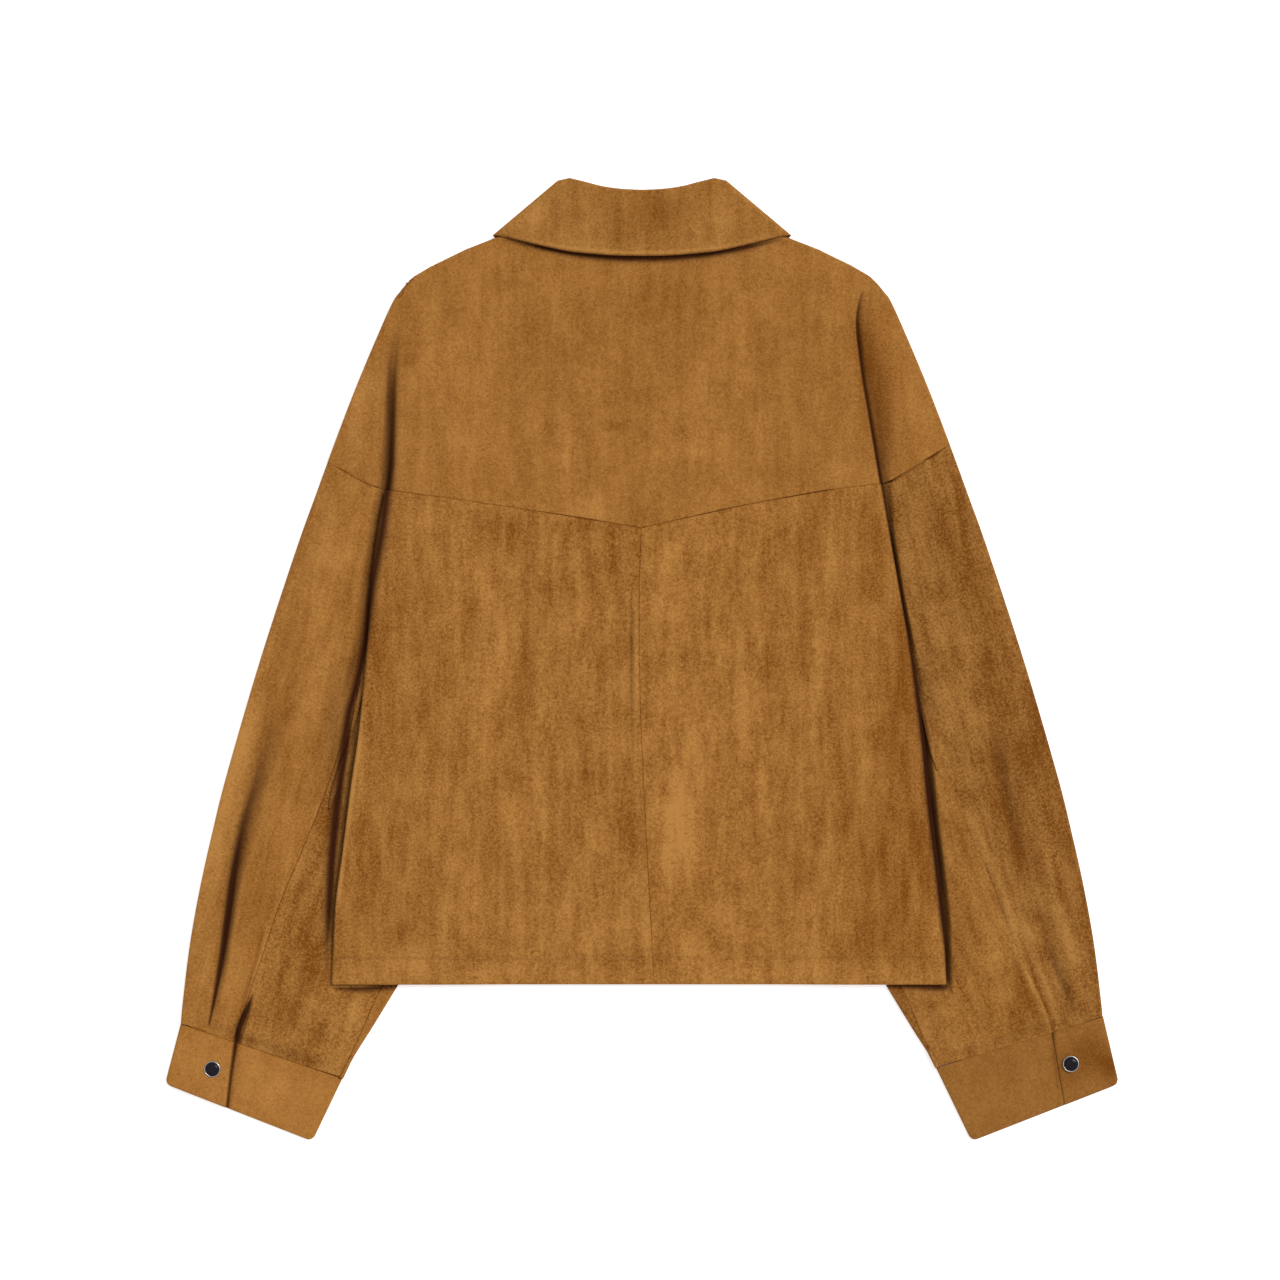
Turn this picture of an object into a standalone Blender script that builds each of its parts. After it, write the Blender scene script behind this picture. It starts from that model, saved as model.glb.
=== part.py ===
"""A cropped suede jacket, laid flat with its back up, as the walls of its cut pieces.

X runs across the back, Y up towards the collar and Z up from the surface it lies on. Lengths in the
tables are millimetres. "across" is measured from the centre back, outwards on either side.
"""
import math

import bmesh
import bpy
import numpy as np
from mathutils import Vector

MM = 0.001
CLOTH = 1.4             # thickness of a cloth wall
SEAM = 0.2              # half of the gap left where two pieces are sewn together
FOLD_RADIUS = 1.8       # outside of a sleeve's or cuff's folded edge
SLEEVE_TUCKED = 3.3     # top of a sleeve where the body lies on it
SLEEVE_PUFF = 2.2       # rise of a sleeve's top between its two folds
FRONT_ON_SLEEVE = 3.9   # underside of a front where it passes over a sleeve
LAYER = 1.7             # one cloth and the gap above it
BACK_TOP = 5.2          # top of the back along its middle
BACK_RISE = 2.2         # how much higher the back's sides lie, on the sleeves
FALL_TOP = 7.0          # top of the collar's fall, on the back
HEM = -246.9            # height of the hem's edge
ARMPIT = -8.0           # height of the lowest point of the armholes
ROWS = 20               # rows of faces down a long piece
OVERLAP = 15            # each front passes the centre by this much

# Outline from the neck point over the shoulder, down the arm to the cuff: across, up
OUTLINE = [
    (81.3, 333.8), (112.5, 320.4), (126.9, 315.0), (139.1, 309.7), (151.6, 303.6), (163.4, 297.5),
    (173.3, 291.5), (179.4, 285.4), (184.3, 279.3), (188.9, 273.2), (198.7, 251.9), (216.6, 209.4),
    (233.0, 166.8), (248.5, 124.3), (263.7, 81.7), (291.4, -3.4), (316.2, -88.5), (326.8, -131.1),
    (336.3, -173.7), (343.9, -216.2), (349.2, -258.8), (350.9, -277.0),
]
# A sleeve's inner fold, from under the body's edge to the cuff: across, up
INNER_FOLD = [
    (202.9, -53.6), (180.0, -99.0), (165.0, -145.0), (161.0, -183.0), (168.0, -217.0), (185.3, -247.3),
    (205.2, -280.1), (218.5, -301.3), (229.9, -322.6),
]
# Lower edge of the yoke, from the left arm to the right arm: x, y
YOKE_SEAM = [
    (-239.6, 150.1), (-219.2, 141.0), (-202.9, 131.1), (-195.3, 128.8), (-183.9, 128.1), (-124.2, 119.3),
    (-62.3, 110.3), (-30.4, 105.3), (-0.8, 99.9), (28.1, 106.6), (70.7, 116.1), (104.9, 122.6),
    (142.1, 129.0), (180.1, 133.4), (187.0, 133.0), (195.0, 141.0), (212.8, 151.9), (234.2, 163.5),
]
# Centre back seam: x, y
CENTRE_SEAM = [(-0.8, 99.9), (-2.3, 40.7), (-1.5, -30.0), (2.6, -122.0), (5.1, -171.4), (9.1, HEM)]

# Collar fall, from the centre back to the side fold: inner across, inner up, outer across, outer up
FALL_BACK = [(0.0, 356.8, 0.0, 306.4), (16.0, 357.6, 19.0, 306.7), (30.1, 359.6, 38.0, 308.0),
             (42.0, 362.6, 62.0, 311.0), (55.0, 366.0, 104.0, 321.0)]
FALL_SIDE = (64.2, 364.2, 113.6, 322.6)     # the fold at the side of the neck
FALL_FRONT = [(57.0, 358.0, 106.0, 316.0), (51.0, 339.0, 101.5, 290.0), (43.0, 320.0, 92.0, 264.0),
              (34.0, 305.0, 80.0, 243.0), (22.0, 294.0, 66.0, 226.0)]
# Collar stand, the same way; its inner edge is sewn to the neck
STAND_BACK = [(0.0, 319.5, 0.0, 352.2), (35.0, 322.0, 27.0, 354.2), (62.0, 328.3, 46.0, 358.0)]
STAND_SIDE = (80.2, 335.2, 59.0, 360.4)
STAND_FRONT = [(76.4, 315.2, 52.0, 338.0), (68.4, 294.4, 43.0, 320.0), (52.9, 276.1, 33.0, 306.0),
               (28.0, 260.9, 18.0, 294.0), (1.5, 256.3, 1.5, 288.0)]

# What differs between the two sides: every table has the columns across, up
SIDES = {
    "left": {
        "sign": -1,
        "arm_seam_up": 150.1,                       # where the yoke's edge meets the outline
        "body_edge": [(194.8, 128.4), (200.6, 98.4), (206.0, 52.8), (209.0, 7.2), (215.1, -54.3),
                      (221.2, -96.1), (227.2, -144.0), (232.6, -183.5), (234.8, -223.8), (235.8, HEM)],
        "crease": [(168.0, 294.6), (172.5, 275.0), (177.8, 259.5), (186.2, 204.8), (190.8, 166.8),
                   (195.3, 128.8)],
        "crease_start": 268.0,
        "crease_width": (5.0, 9.0),                 # of the slope towards the body, and towards the arm
        "valley": 15.0,                             # width of the slope from a sleeve down to the body's edge
        "yoke_corner": (202.9, 131.1),
        "back_seam": [(204.0, 24.0), (211.3, 7.2), (221.2, -34.6), (234.8, -84.7), (254.6, -136.4),
                      (274.4, -183.5), (286.5, -220.0), (295.6, -245.9), (309.8, -289.2)],
        "pleat": [(222.0, 142.4), (262.0, 20.0), (280.4, -50.5), (298.7, -114.4), (312.4, -173.7),
                  (320.0, -229.9), (329.6, -281.0)],
        "pleat_start": -45.0,
        "pleat_depth": 2.4,
        "pleat_width": (12.0, 3.5),                 # at its start and at the cuff
        "placket": 3.5,                             # how far the slit above the cuff stands open
        "cuff_top": [(350.9, -277.0), (227.9, -318.8)],
        "cuff_bottom": [(362.7, -322.2), (250.6, -365.9)],
        "flap": (0.326, 0.412),                     # share of the cuff's width, at its top and bottom
        "snap": (326.6, -311.4),
    },
    "right": {
        "sign": 1,
        "arm_seam_up": 163.5,
        "body_edge": [(181.6, 133.4), (185.1, 116.7), (190.5, 82.0), (196.8, 46.7), (207.5, -13.3),
                      (214.3, -61.9), (219.9, -119.7), (223.8, -150.9), (228.8, -194.2), (231.0, HEM)],
        "crease": [(166.0, 295.8), (165.0, 280.0), (163.6, 261.8), (165.0, 243.0), (169.5, 213.6),
                   (175.6, 175.9), (181.4, 133.4)],
        "crease_start": 282.0,
        "crease_width": (3.5, 14.0),
        "valley": 9.0,
        "yoke_corner": (188.6, 134.4),
        "back_seam": [(195.0, 24.0), (203.5, 3.0), (217.0, -34.6), (231.5, -84.7), (251.5, -136.4),
                      (266.0, -170.6), (276.2, -199.5), (289.3, -230.4), (302.5, -256.5), (313.6, -284.0)],
        "pleat": [(216.0, 153.5), (250.0, 20.0), (264.0, -60.0), (275.9, -106.8), (302.5, -205.6),
                  (327.9, -277.0)],
        "pleat_start": -90.0,
        "pleat_depth": 1.8,
        "pleat_width": (12.0, 4.0),
        "placket": 0.0,
        "cuff_top": [(350.9, -271.6), (223.7, -310.6)],
        "cuff_bottom": [(362.7, -322.2), (250.6, -365.9)],
        "flap": (0.306, 0.370),
        "snap": (326.0, -307.4),
    },
}

UNDERLAP = 28.0         # the cuff's inner end reaches this far under its flap
SNAP_RADIUS = 6.4
SNAP_HEIGHT = 2.6
FRONT_SNAPS = [212.0, 102.0, -8.0, -118.0, -228.0]     # heights of the snaps down the fronts

SUEDE = (0.33, 0.145, 0.038, 1.0)
SUEDE_DARK = (0.30, 0.127, 0.032, 1.0)
SNAP_BLACK = (0.012, 0.010, 0.012, 1.0)


# ---- Curves ----

def ease(value, start, end):
    """0 at start, 1 at end, and a smooth slope between them."""
    share = min(max((value - start) / (end - start), 0.0), 1.0)
    return share * share * (3 - 2 * share)


def smooth(points, steps=8):
    """A smooth curve through all the points."""
    points = np.array(points, dtype=float)
    ends = np.vstack([2 * points[0] - points[1], points, 2 * points[-1] - points[-2]])
    curve = []
    for before, start, end, after in zip(ends, ends[1:], ends[2:], ends[3:]):
        for step in range(steps):
            t = step / steps
            curve.append(0.5 * (2 * start + (end - before) * t
                                + (2 * before - 5 * start + 4 * end - after) * t ** 2
                                + (3 * start - before - 3 * end + after) * t ** 3))
    curve.append(points[-1])
    return np.array(curve)


def spaced(curve, shares):
    """Points of a curve at the given shares of its length."""
    curve = np.array(curve, dtype=float)
    length = np.concatenate([[0], np.cumsum(np.linalg.norm(np.diff(curve, axis=0), axis=1))])
    wanted = np.array(shares) * length[-1]
    return np.column_stack([np.interp(wanted, length, curve[:, axis]) for axis in range(curve.shape[1])])


def across_at(curve, up):
    """How far out a curve that runs downwards is, at one height."""
    return float(np.interp(-up, -np.array(curve)[:, 1], np.array(curve)[:, 0]))


def stretch(curve, top, bottom):
    """The part of a curve that runs downwards, between two heights."""
    inside = [tuple(point) for point in curve if bottom < point[1] < top]
    return [(across_at(curve, top), top)] + inside + [(across_at(curve, bottom), bottom)]


def beside(curve, distance):
    """A curve that runs downwards, moved outwards by a distance across it."""
    curve = np.array(curve, dtype=float)
    along = np.gradient(curve, axis=0)
    along /= np.linalg.norm(along, axis=1)[:, None]
    outward = np.column_stack([-along[:, 1], along[:, 0]])
    return curve + outward * np.array(distance).reshape(-1, 1)


def encloses(outline, x, y):
    """Whether a point lies inside a closed outline."""
    crossings = 0
    for (x1, y1), (x2, y2) in zip(outline, outline[1:] + outline[:1]):
        if (y1 > y) != (y2 > y) and x < x1 + (x2 - x1) * (y - y1) / (y2 - y1):
            crossings += 1
    return crossings % 2 == 1


def distance_to(curve, x, y):
    """Shortest distance from a point to a curve."""
    curve = np.array(curve, dtype=float)
    start, side = curve[:-1], np.diff(curve, axis=0)
    share = np.clip(((np.array([x, y]) - start) * side).sum(axis=1) / (side ** 2).sum(axis=1), 0, 1)
    return float(np.linalg.norm(start + side * share[:, None] - [x, y], axis=1).min())


OUTLINE_CURVE = smooth(OUTLINE)
COLLAR_LEAF = [row[2:] for row in FALL_FRONT] + [row[:2] for row in FALL_FRONT[::-1]]
for side_data in SIDES.values():
    armpit = across_at(side_data["body_edge"], ARMPIT) - 5.0
    side_data["inner_fold"] = smooth([(armpit, ARMPIT), (armpit + 1.2, ARMPIT - 20)] + INNER_FOLD)
    side_data["body_curve"] = smooth(side_data["body_edge"])
    side_data["armhole"] = [(side_data["yoke_corner"][0] + 31, side_data["arm_seam_up"] - 28),
                            (armpit - 1.5, 60.0), (armpit, ARMPIT)]


# ---- Heights: how high each layer lies over a place ----

def fold_depth(side, across, up):
    """Depth of the long pleat of a sleeve at one place."""
    start_width, end_width = side["pleat_width"]
    down = ease(-up, -side["pleat_start"], 270)
    width = start_width + (end_width - start_width) * down
    apart = abs(across - across_at(side["pleat"], up))
    return side["pleat_depth"] * down ** 0.5 * (1 - ease(apart, 0, width))


def sleeve_top(side, across, up):
    """Top of a sleeve: a soft rise between its folds, pressed down beside and under the body."""
    outer = distance_to(OUTLINE_CURVE, across, up)
    inner = distance_to(side["inner_fold"], across, up)
    level = 2 * FOLD_RADIUS + SLEEVE_PUFF * ease(outer, 2, 24) * ease(inner, 2, 25)
    level -= fold_depth(side, across, up)
    past_edge = across - across_at(side["body_curve"], up)
    past_hem = HEM - up
    free = max(ease(past_edge, 1, side["valley"]), ease(past_hem, 0, 15))
    return SLEEVE_TUCKED + (level - SLEEVE_TUCKED) * free


def front_lift(side, across, up):
    """Underside of a front: on the surface, and raised over a sleeve, the collar and the other front."""
    over_sleeve = ease(across - across_at(side["inner_fold"], up), -26, -2.5) * ease(-up, -15, 22)
    from_collar = 0.0 if encloses(COLLAR_LEAF, across, up) else distance_to(COLLAR_LEAF, across, up)
    over_collar = 1 - ease(from_collar, 12, 36)
    return max(FRONT_ON_SLEEVE * over_sleeve, LAYER * over_collar)


def left_front_lift(side, across, up):
    """The left front also lies over the edge of the right one."""
    return front_lift(side, abs(across), up) + LAYER * (1 - ease(across, OVERLAP + 1, OVERLAP + 12))


def back_top(across, up):
    """Top of the back, away from its edges."""
    return BACK_TOP + BACK_RISE * ease(across, 95, 158) * ease(-up, -250, -110)


def back_panel_top(side, across, up):
    """Top of a lower back panel, whose side edge rolls down onto the sleeve."""
    roll = 0.5 + 1.9 * ease(up, 15, 45)
    from_edge = across_at(side["body_curve"], up) - across
    return back_top(across, up) - roll * (1 - ease(from_edge, 0, 7))


def yoke_top(side, across, up):
    """Top of the yoke: its crease at the arm, and its edge bent down along the shoulder."""
    to_body, to_arm = side["crease_width"]
    past_crease = across_at(side["crease"], up) - across
    arm = 2 * FOLD_RADIUS + SLEEVE_PUFF
    body_share = ease(past_crease, -to_arm, to_body)
    opened = ease(side["crease_start"] - up, 0, side["crease_start"] - 135)
    level = back_top(across, up)
    level += (arm - level) * (1 - body_share) * opened
    from_outline = distance_to(OUTLINE_CURVE, across, up)
    edge = 2 * FOLD_RADIUS
    level = edge + (level - edge) * ease(from_outline, 2, 35) - 0.5 * (1 - ease(from_outline, 0, 4))
    width = to_body if past_crease > 0 else to_arm
    trough = opened ** 0.6 * (1 - ease(abs(past_crease), 0, width))
    level += (CLOTH + LAYER - level) * trough
    return max(level, front_lift(side, across, up) + CLOTH + LAYER + 0.05)


# ---- Walls ----

def material(name, colour, roughness, metallic=0.0):
    made = bpy.data.materials.new(name)
    made.use_nodes = True
    shader = made.node_tree.nodes["Principled BSDF"]
    shader.inputs["Base Color"].default_value = colour
    shader.inputs["Roughness"].default_value = roughness
    shader.inputs["Metallic"].default_value = metallic
    return made


def wall(name, columns, colour, mirrored=False, turned=False):
    """A cloth wall whose outer face runs through the columns' points.

    The outer face looks up where the columns follow one another to the right, and down when turned.
    """
    across, down = len(columns) - 1, len(columns[0]) - 1
    shape = bmesh.new()
    bmesh.ops.create_grid(shape, x_segments=across, y_segments=down, size=1)
    for vert in shape.verts:
        column = round((vert.co.x + 1) / 2 * across)
        row = round((1 - vert.co.y) / 2 * down)
        vert.co = Vector(columns[column][row]) * MM
        if mirrored:
            vert.co.x = -vert.co.x
    if mirrored != turned:
        bmesh.ops.reverse_faces(shape, faces=shape.faces)
    bmesh.ops.triangulate(shape, faces=shape.faces)
    mesh = bpy.data.meshes.new(name)
    shape.to_mesh(mesh)
    shape.free()
    mesh.shade_smooth()
    piece = bpy.data.objects.new(name, mesh)
    piece.data.materials.append(material(f"{name}_suede", colour, 0.9))
    thickness = piece.modifiers.new("thickness", "SOLIDIFY")
    thickness.thickness = CLOTH * MM
    thickness.offset = -1
    JACKET.objects.link(piece)
    return piece


def fill(guides, counts):
    """Columns through guide curves, with the given number of steps between each pair of guides."""
    columns = []
    for guide, following, count in zip(guides, guides[1:], counts):
        columns += [guide + (following - guide) * step / count for step in range(count)]
    return columns + [guides[-1]]


def raise_to(columns, height):
    """Give each point of flat columns its height."""
    return [[(x, y, height(x, y)) for x, y in column] for column in columns]


# ---- Back ----

def yoke_half(side):
    """Columns of half the yoke, from the arm's edge to the centre back."""
    sign = side["sign"]
    seam_x = [sign * x for x, y in YOKE_SEAM][::sign]
    seam_y = [y for x, y in YOKE_SEAM][::sign]
    to_body, to_arm = side["crease_width"]
    seam_up = side["arm_seam_up"]
    crease = smooth(side["crease"])

    def lower(across):
        return across, float(np.interp(across, seam_x, seam_y)) + SEAM

    def on_shoulder(up):
        return across_at(OUTLINE_CURVE, up), up

    edge = stretch(OUTLINE_CURVE, 282.3, seam_up + SEAM)
    rim = [on_shoulder(286.5)] + list(beside(edge, -3.5))[3:-1] + [lower(edge[-1][0] - 3.5)]
    foot = lower(crease[-1][0])
    widths = [4 + (to_arm - 4) * ease(crease[0][1] - up, 20, 90) for across, up in crease]
    out = [on_shoulder(291.5)] + list(beside(crease, widths))[5:-1] + [lower(foot[0] + to_arm)]
    middle = list(crease[:-1]) + [foot]
    inside = [on_shoulder(crease[0][1] + 4)] + list(beside(crease, -to_body))[5:-1] + [lower(foot[0] - to_body)]
    guides = [edge, rim, out, middle, inside]
    for top, bottom_across in [(on_shoulder(312), 140), (on_shoulder(320.4), 112), ((81.0, 333.8), 84),
                               ((62.0, 327.6), 62), ((35.0, 321.4), 38), ((0.0, 318.8), -sign * 0.8)]:
        guides.append([top, lower(bottom_across)])
    shares = [0, 0.018, 0.06] + list(np.linspace(0.13, 1, 11))
    columns = fill([spaced(guide, shares) for guide in guides], [1, 2, 2, 1, 2, 1, 1, 1, 1, 2])
    return raise_to(columns, lambda x, y: yoke_top(side, x, y))


def make_back():
    left = yoke_half(SIDES["left"])
    right = yoke_half(SIDES["right"])
    columns = [[(-x, y, z) for x, y, z in column] for column in left] + right[-2::-1]
    wall("back_yoke", columns, SUEDE)
    for name, side in SIDES.items():
        sign = side["sign"]
        seam_x = [sign * x for x, y in YOKE_SEAM][::sign]
        seam_y = [y for x, y in YOKE_SEAM][::sign]
        centre = [(sign * x + SEAM, y) for x, y in smooth(CENTRE_SEAM)]
        edge = side["body_curve"]

        def down_from(top, bottom):
            up = float(np.interp(top, seam_x, seam_y)) - SEAM
            return [(top, up), (bottom, HEM)]

        edge = [(edge[0][0], float(np.interp(edge[0][0], seam_x, seam_y)) - SEAM)] + list(edge[1:])
        rim = [(across - 3.5, up) for across, up in edge]
        guides = [edge, rim] + [down_from(top, bottom) for top, bottom in [(150, 158), (95, 100)]]
        guides.append([(centre[0][0], centre[0][1] - 2 * SEAM)] + centre[1:])
        columns = fill([spaced(guide, np.linspace(0, 1, 15)) for guide in guides], [1, 3, 3, 4])
        columns = raise_to(columns, lambda x, y: back_panel_top(side, x, y))
        wall(f"back_panel_{name}", columns[::-1], SUEDE_DARK, sign < 0)


# ---- Fronts ----

def make_fronts():
    for name, side in SIDES.items():
        armpit = side["armhole"][-1]
        tip_up = side["arm_seam_up"] + 0.4
        body = side["body_curve"]
        side_line = [(across_at(OUTLINE_CURVE, tip_up) - 3.0, tip_up)]
        side_line += [(across - 2.4, up) for across, up in side["armhole"][:-1]] + [(armpit[0] - 1.0, armpit[1])]
        side_line += [(across_at(body, up) - inset, up) for up, inset in [(-30, 5.0), (-60, 2.0), (-90, 2.0)]]
        side_line += [(across - 2.0, up) for across, up in side["body_edge"] if up < -91]
        tuck = [(across - 2.4, up) for across, up in stretch(side["inner_fold"], -40, HEM)]
        foot = [(across - 28, up) for across, up in stretch(side["inner_fold"], -40, HEM)]
        between = [(204, -54), (201, -99), (196, -145), (197, -183), (202, -217), (211, HEM)]
        guides = [
            side_line,
            [(213.5, 213), (193, 90), (armpit[0] - 9, 7)] + between,
            [(188, 273), (182, 90), (armpit[0] - 20, 7)] + tuck,
            [(167.5, 294.1), (163, 90), (armpit[0] - 42, 7)] + foot,
            [(134, 310.9), (125, 7), (112, HEM)],
            [(104, 318.0), (100, 7), (88, HEM)],
            [(80.6, 333.0), (78, 7), (68, HEM)],
            [(76.3, 314.0), (66, 7), (56, HEM)],
            [(68.2, 292.8), (54, 7), (46, HEM)],
            [(52.8, 274.4), (42, 7), (37, HEM)],
            [(OVERLAP + 12, 258.9), (OVERLAP + 12, HEM)],
            [(OVERLAP + 1, 256.5), (OVERLAP + 1, HEM)],
            [(-OVERLAP, 255.4), (-OVERLAP, HEM)],
        ]
        lift = left_front_lift if name == "left" else front_lift
        columns = [spaced(guide, np.linspace(0, 1, ROWS + 2)) for guide in guides]
        columns = raise_to(columns, lambda x, y: lift(side, x, y))
        piece = wall(f"front_panel_{name}", columns, SUEDE_DARK, side["sign"] < 0)
        if name == "left":
            continue
        for number, up in enumerate(FRONT_SNAPS, 1):
            cut_hole(piece, number, up)
            snap(f"front_snap_{number}", 0, up, 0, [(SNAP_RADIUS - 0.3, CLOTH), (SNAP_RADIUS, CLOTH - 0.3),
                                                    (SNAP_RADIUS, 0.0)])


def cut_hole(piece, number, up):
    """The hole through the right front that a snap's cap sits in."""
    bpy.ops.mesh.primitive_cylinder_add(vertices=20, radius=(SNAP_RADIUS + 0.4) * MM, depth=12 * MM,
                                        location=(0, up * MM, 0))
    cutter = bpy.context.object
    cutter.name = f"snap_hole_{number}"
    cutter.hide_render = True
    cutter.display_type = "WIRE"
    for holder in list(cutter.users_collection):
        holder.objects.unlink(cutter)
    CUTTERS.objects.link(cutter)
    cut = piece.modifiers.new("snap hole", "BOOLEAN")
    cut.operation = "DIFFERENCE"
    cut.solver = "EXACT"
    cut.object = cutter


def snap(name, x, y, z, outer):
    """A snap's cap: a turned profile that runs from the axis down its outer side."""
    points = [(0.0, outer[0][1])] + outer + [(0.0, outer[-1][1])]
    mesh = bpy.data.meshes.new(name)
    mesh.from_pydata([(radius * MM, 0, height * MM) for radius, height in points],
                     [(index, index + 1) for index in range(len(points) - 1)], [])
    cap = bpy.data.objects.new(name, mesh)
    cap.location = Vector((x, y, z)) * MM
    turn = cap.modifiers.new("turn", "SCREW")
    turn.steps = turn.render_steps = 20
    turn.use_merge_vertices = True
    turn.merge_threshold = 0.0001
    cap.data.materials.append(material(f"{name}_metal", SNAP_BLACK, 0.25, 0.6))
    JACKET.objects.link(cap)


# ---- Sleeves ----

def folded(curve, outward, bottom=0.0, top=2 * FOLD_RADIUS):
    """Columns round a folded edge, from its top to its underside, inside the given curve."""
    radius = (top - bottom) / 2
    columns = []
    for angle in (90, 45, 0, -45, -90):
        turn = math.radians(angle)
        flat = beside(curve, -outward * radius * (1 - math.cos(turn)))
        columns.append([(x, y, bottom + radius * (1 + math.sin(turn))) for x, y in flat])
    return columns


def make_sleeves():
    shares = np.linspace(0, 1, ROWS + 1)
    slow = shares ** 1.5                    # rows fan out from the armpit
    for name, side in SIDES.items():
        mirrored = side["sign"] < 0
        cuff_outer, cuff_inner = [np.array(point) for point in side["cuff_top"]]
        seam_up = side["arm_seam_up"]

        def on_cuff(share, lift=2 * SEAM):
            across, up = cuff_outer + (cuff_inner - cuff_outer) * share
            return across, up + lift

        def top_edge(across):
            line = [(across_at(OUTLINE_CURVE, seam_up), seam_up), side["yoke_corner"]]
            share = (line[0][0] - across) / (line[0][0] - line[1][0])
            return across, line[0][1] + (line[1][1] - line[0][1]) * share - 2 * SEAM - 1.2 * share * (1 - share)

        flap = side["flap"][0]
        corner = side["yoke_corner"]
        body = side["body_curve"]
        outer = spaced(stretch(OUTLINE_CURVE, seam_up - 2 * SEAM, cuff_outer[1] + 2 * SEAM), shares)
        inner = spaced(stretch(side["inner_fold"], ARMPIT - 0.5, cuff_inner[1] + 2 * SEAM), slow)
        pleat = smooth([top_edge(side["pleat"][0][0])] + side["pleat"][1:-1] + [on_cuff(flap * 0.5)])
        pleat = spaced(pleat, shares)
        hidden = (across_at(body, 24) - 4, 24)
        back_seam = spaced(smooth([hidden] + side["back_seam"][1:-1] + [on_cuff(flap)]), shares ** 1.15)
        open_slit = np.array([side["placket"] * ease(share, 0.88, 1) for share in shares])
        between = (back_seam + pleat) / 2
        fading = np.array([1 - ease(share, 0, 0.5) for share in shares])
        between += fading[:, None] * (np.array([corner[0], corner[1] - 2 * SEAM - 0.3]) - between[0])
        front_seam = beside(inner, 2.8 + 6.0 * np.sin(np.pi * shares))
        front_seam[-1] = on_cuff(0.96)
        pleat_out, pleat_in = beside(pleat, 5.0 - 2.5 * shares), beside(pleat, 2.5 * shares - 5.0)
        pleat_out[0], pleat_in[0] = top_edge(pleat[0][0] + 5), top_edge(pleat[0][0] - 5)
        pleat_out[-1], pleat_in[-1] = on_cuff(flap * 0.44), on_cuff(flap * 0.56)
        outer_fold = folded(outer, 1)
        inner_fold = folded(inner, -1)[::-1]
        flat_folds = [[point[:2] for point in column] for column in
                      (outer_fold[0], outer_fold[-1], inner_fold[0], inner_fold[-1])]
        outer_top, outer_under, inner_under, inner_top = [np.array(column) for column in flat_folds]

        def lay_top(guides, counts):
            return raise_to(fill(guides, counts), lambda x, y: sleeve_top(side, x, y))

        top = lay_top([beside(back_seam, SEAM), between, pleat_in, pleat, pleat_out, outer_top], [2, 1, 1, 1, 2])
        armhole = side["armhole"]
        bottom_guides = [outer_under,
                         spaced(smooth([armhole[0], (armhole[0][0] + 30, 10), (300, -150), on_cuff(0.33)]), shares),
                         spaced(smooth([armhole[1], (235, -60), (262, -180), on_cuff(0.67)]), shares ** 1.15),
                         inner_under]
        bottom = raise_to(fill(bottom_guides, [2, 2, 2]), lambda x, y: 0.0)
        sliver = lay_top([inner_top, beside(front_seam, -SEAM)], [1])
        columns = top[:-1] + outer_fold + bottom[1:-1] + inner_fold + sliver[1:]
        wall(f"upper_sleeve_{name}", columns, SUEDE, mirrored)

        # Two columns of the under sleeve follow the body's edge, where it is pressed down
        pressed, risen = [hidden], [hidden]
        for up in (-20, -60, -110, -160, -210, HEM + 5):
            edge = across_at(body, up) + 1
            room = across_at(back_seam, up) - edge
            pressed.append((edge, up))
            risen.append((edge + min(side["valley"], room * 0.5), up))
        pressed[0] = tuple(front_seam[0] + (back_seam[0] - front_seam[0]) * 0.4)
        risen[0] = tuple(front_seam[0] + (back_seam[0] - front_seam[0]) * 0.7)
        pressed = spaced(smooth(pressed + [on_cuff(0.8)]), shares ** 1.3)
        risen = spaced(smooth(risen + [on_cuff(0.66)]), shares ** 1.25)
        slit_edge = beside(back_seam, -SEAM - open_slit)
        under = lay_top([beside(front_seam, SEAM), pressed, risen, slit_edge], [2, 1, 2])
        wall(f"under_sleeve_{name}", under, SUEDE_DARK, mirrored)
        make_cuff(name, side)


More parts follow.
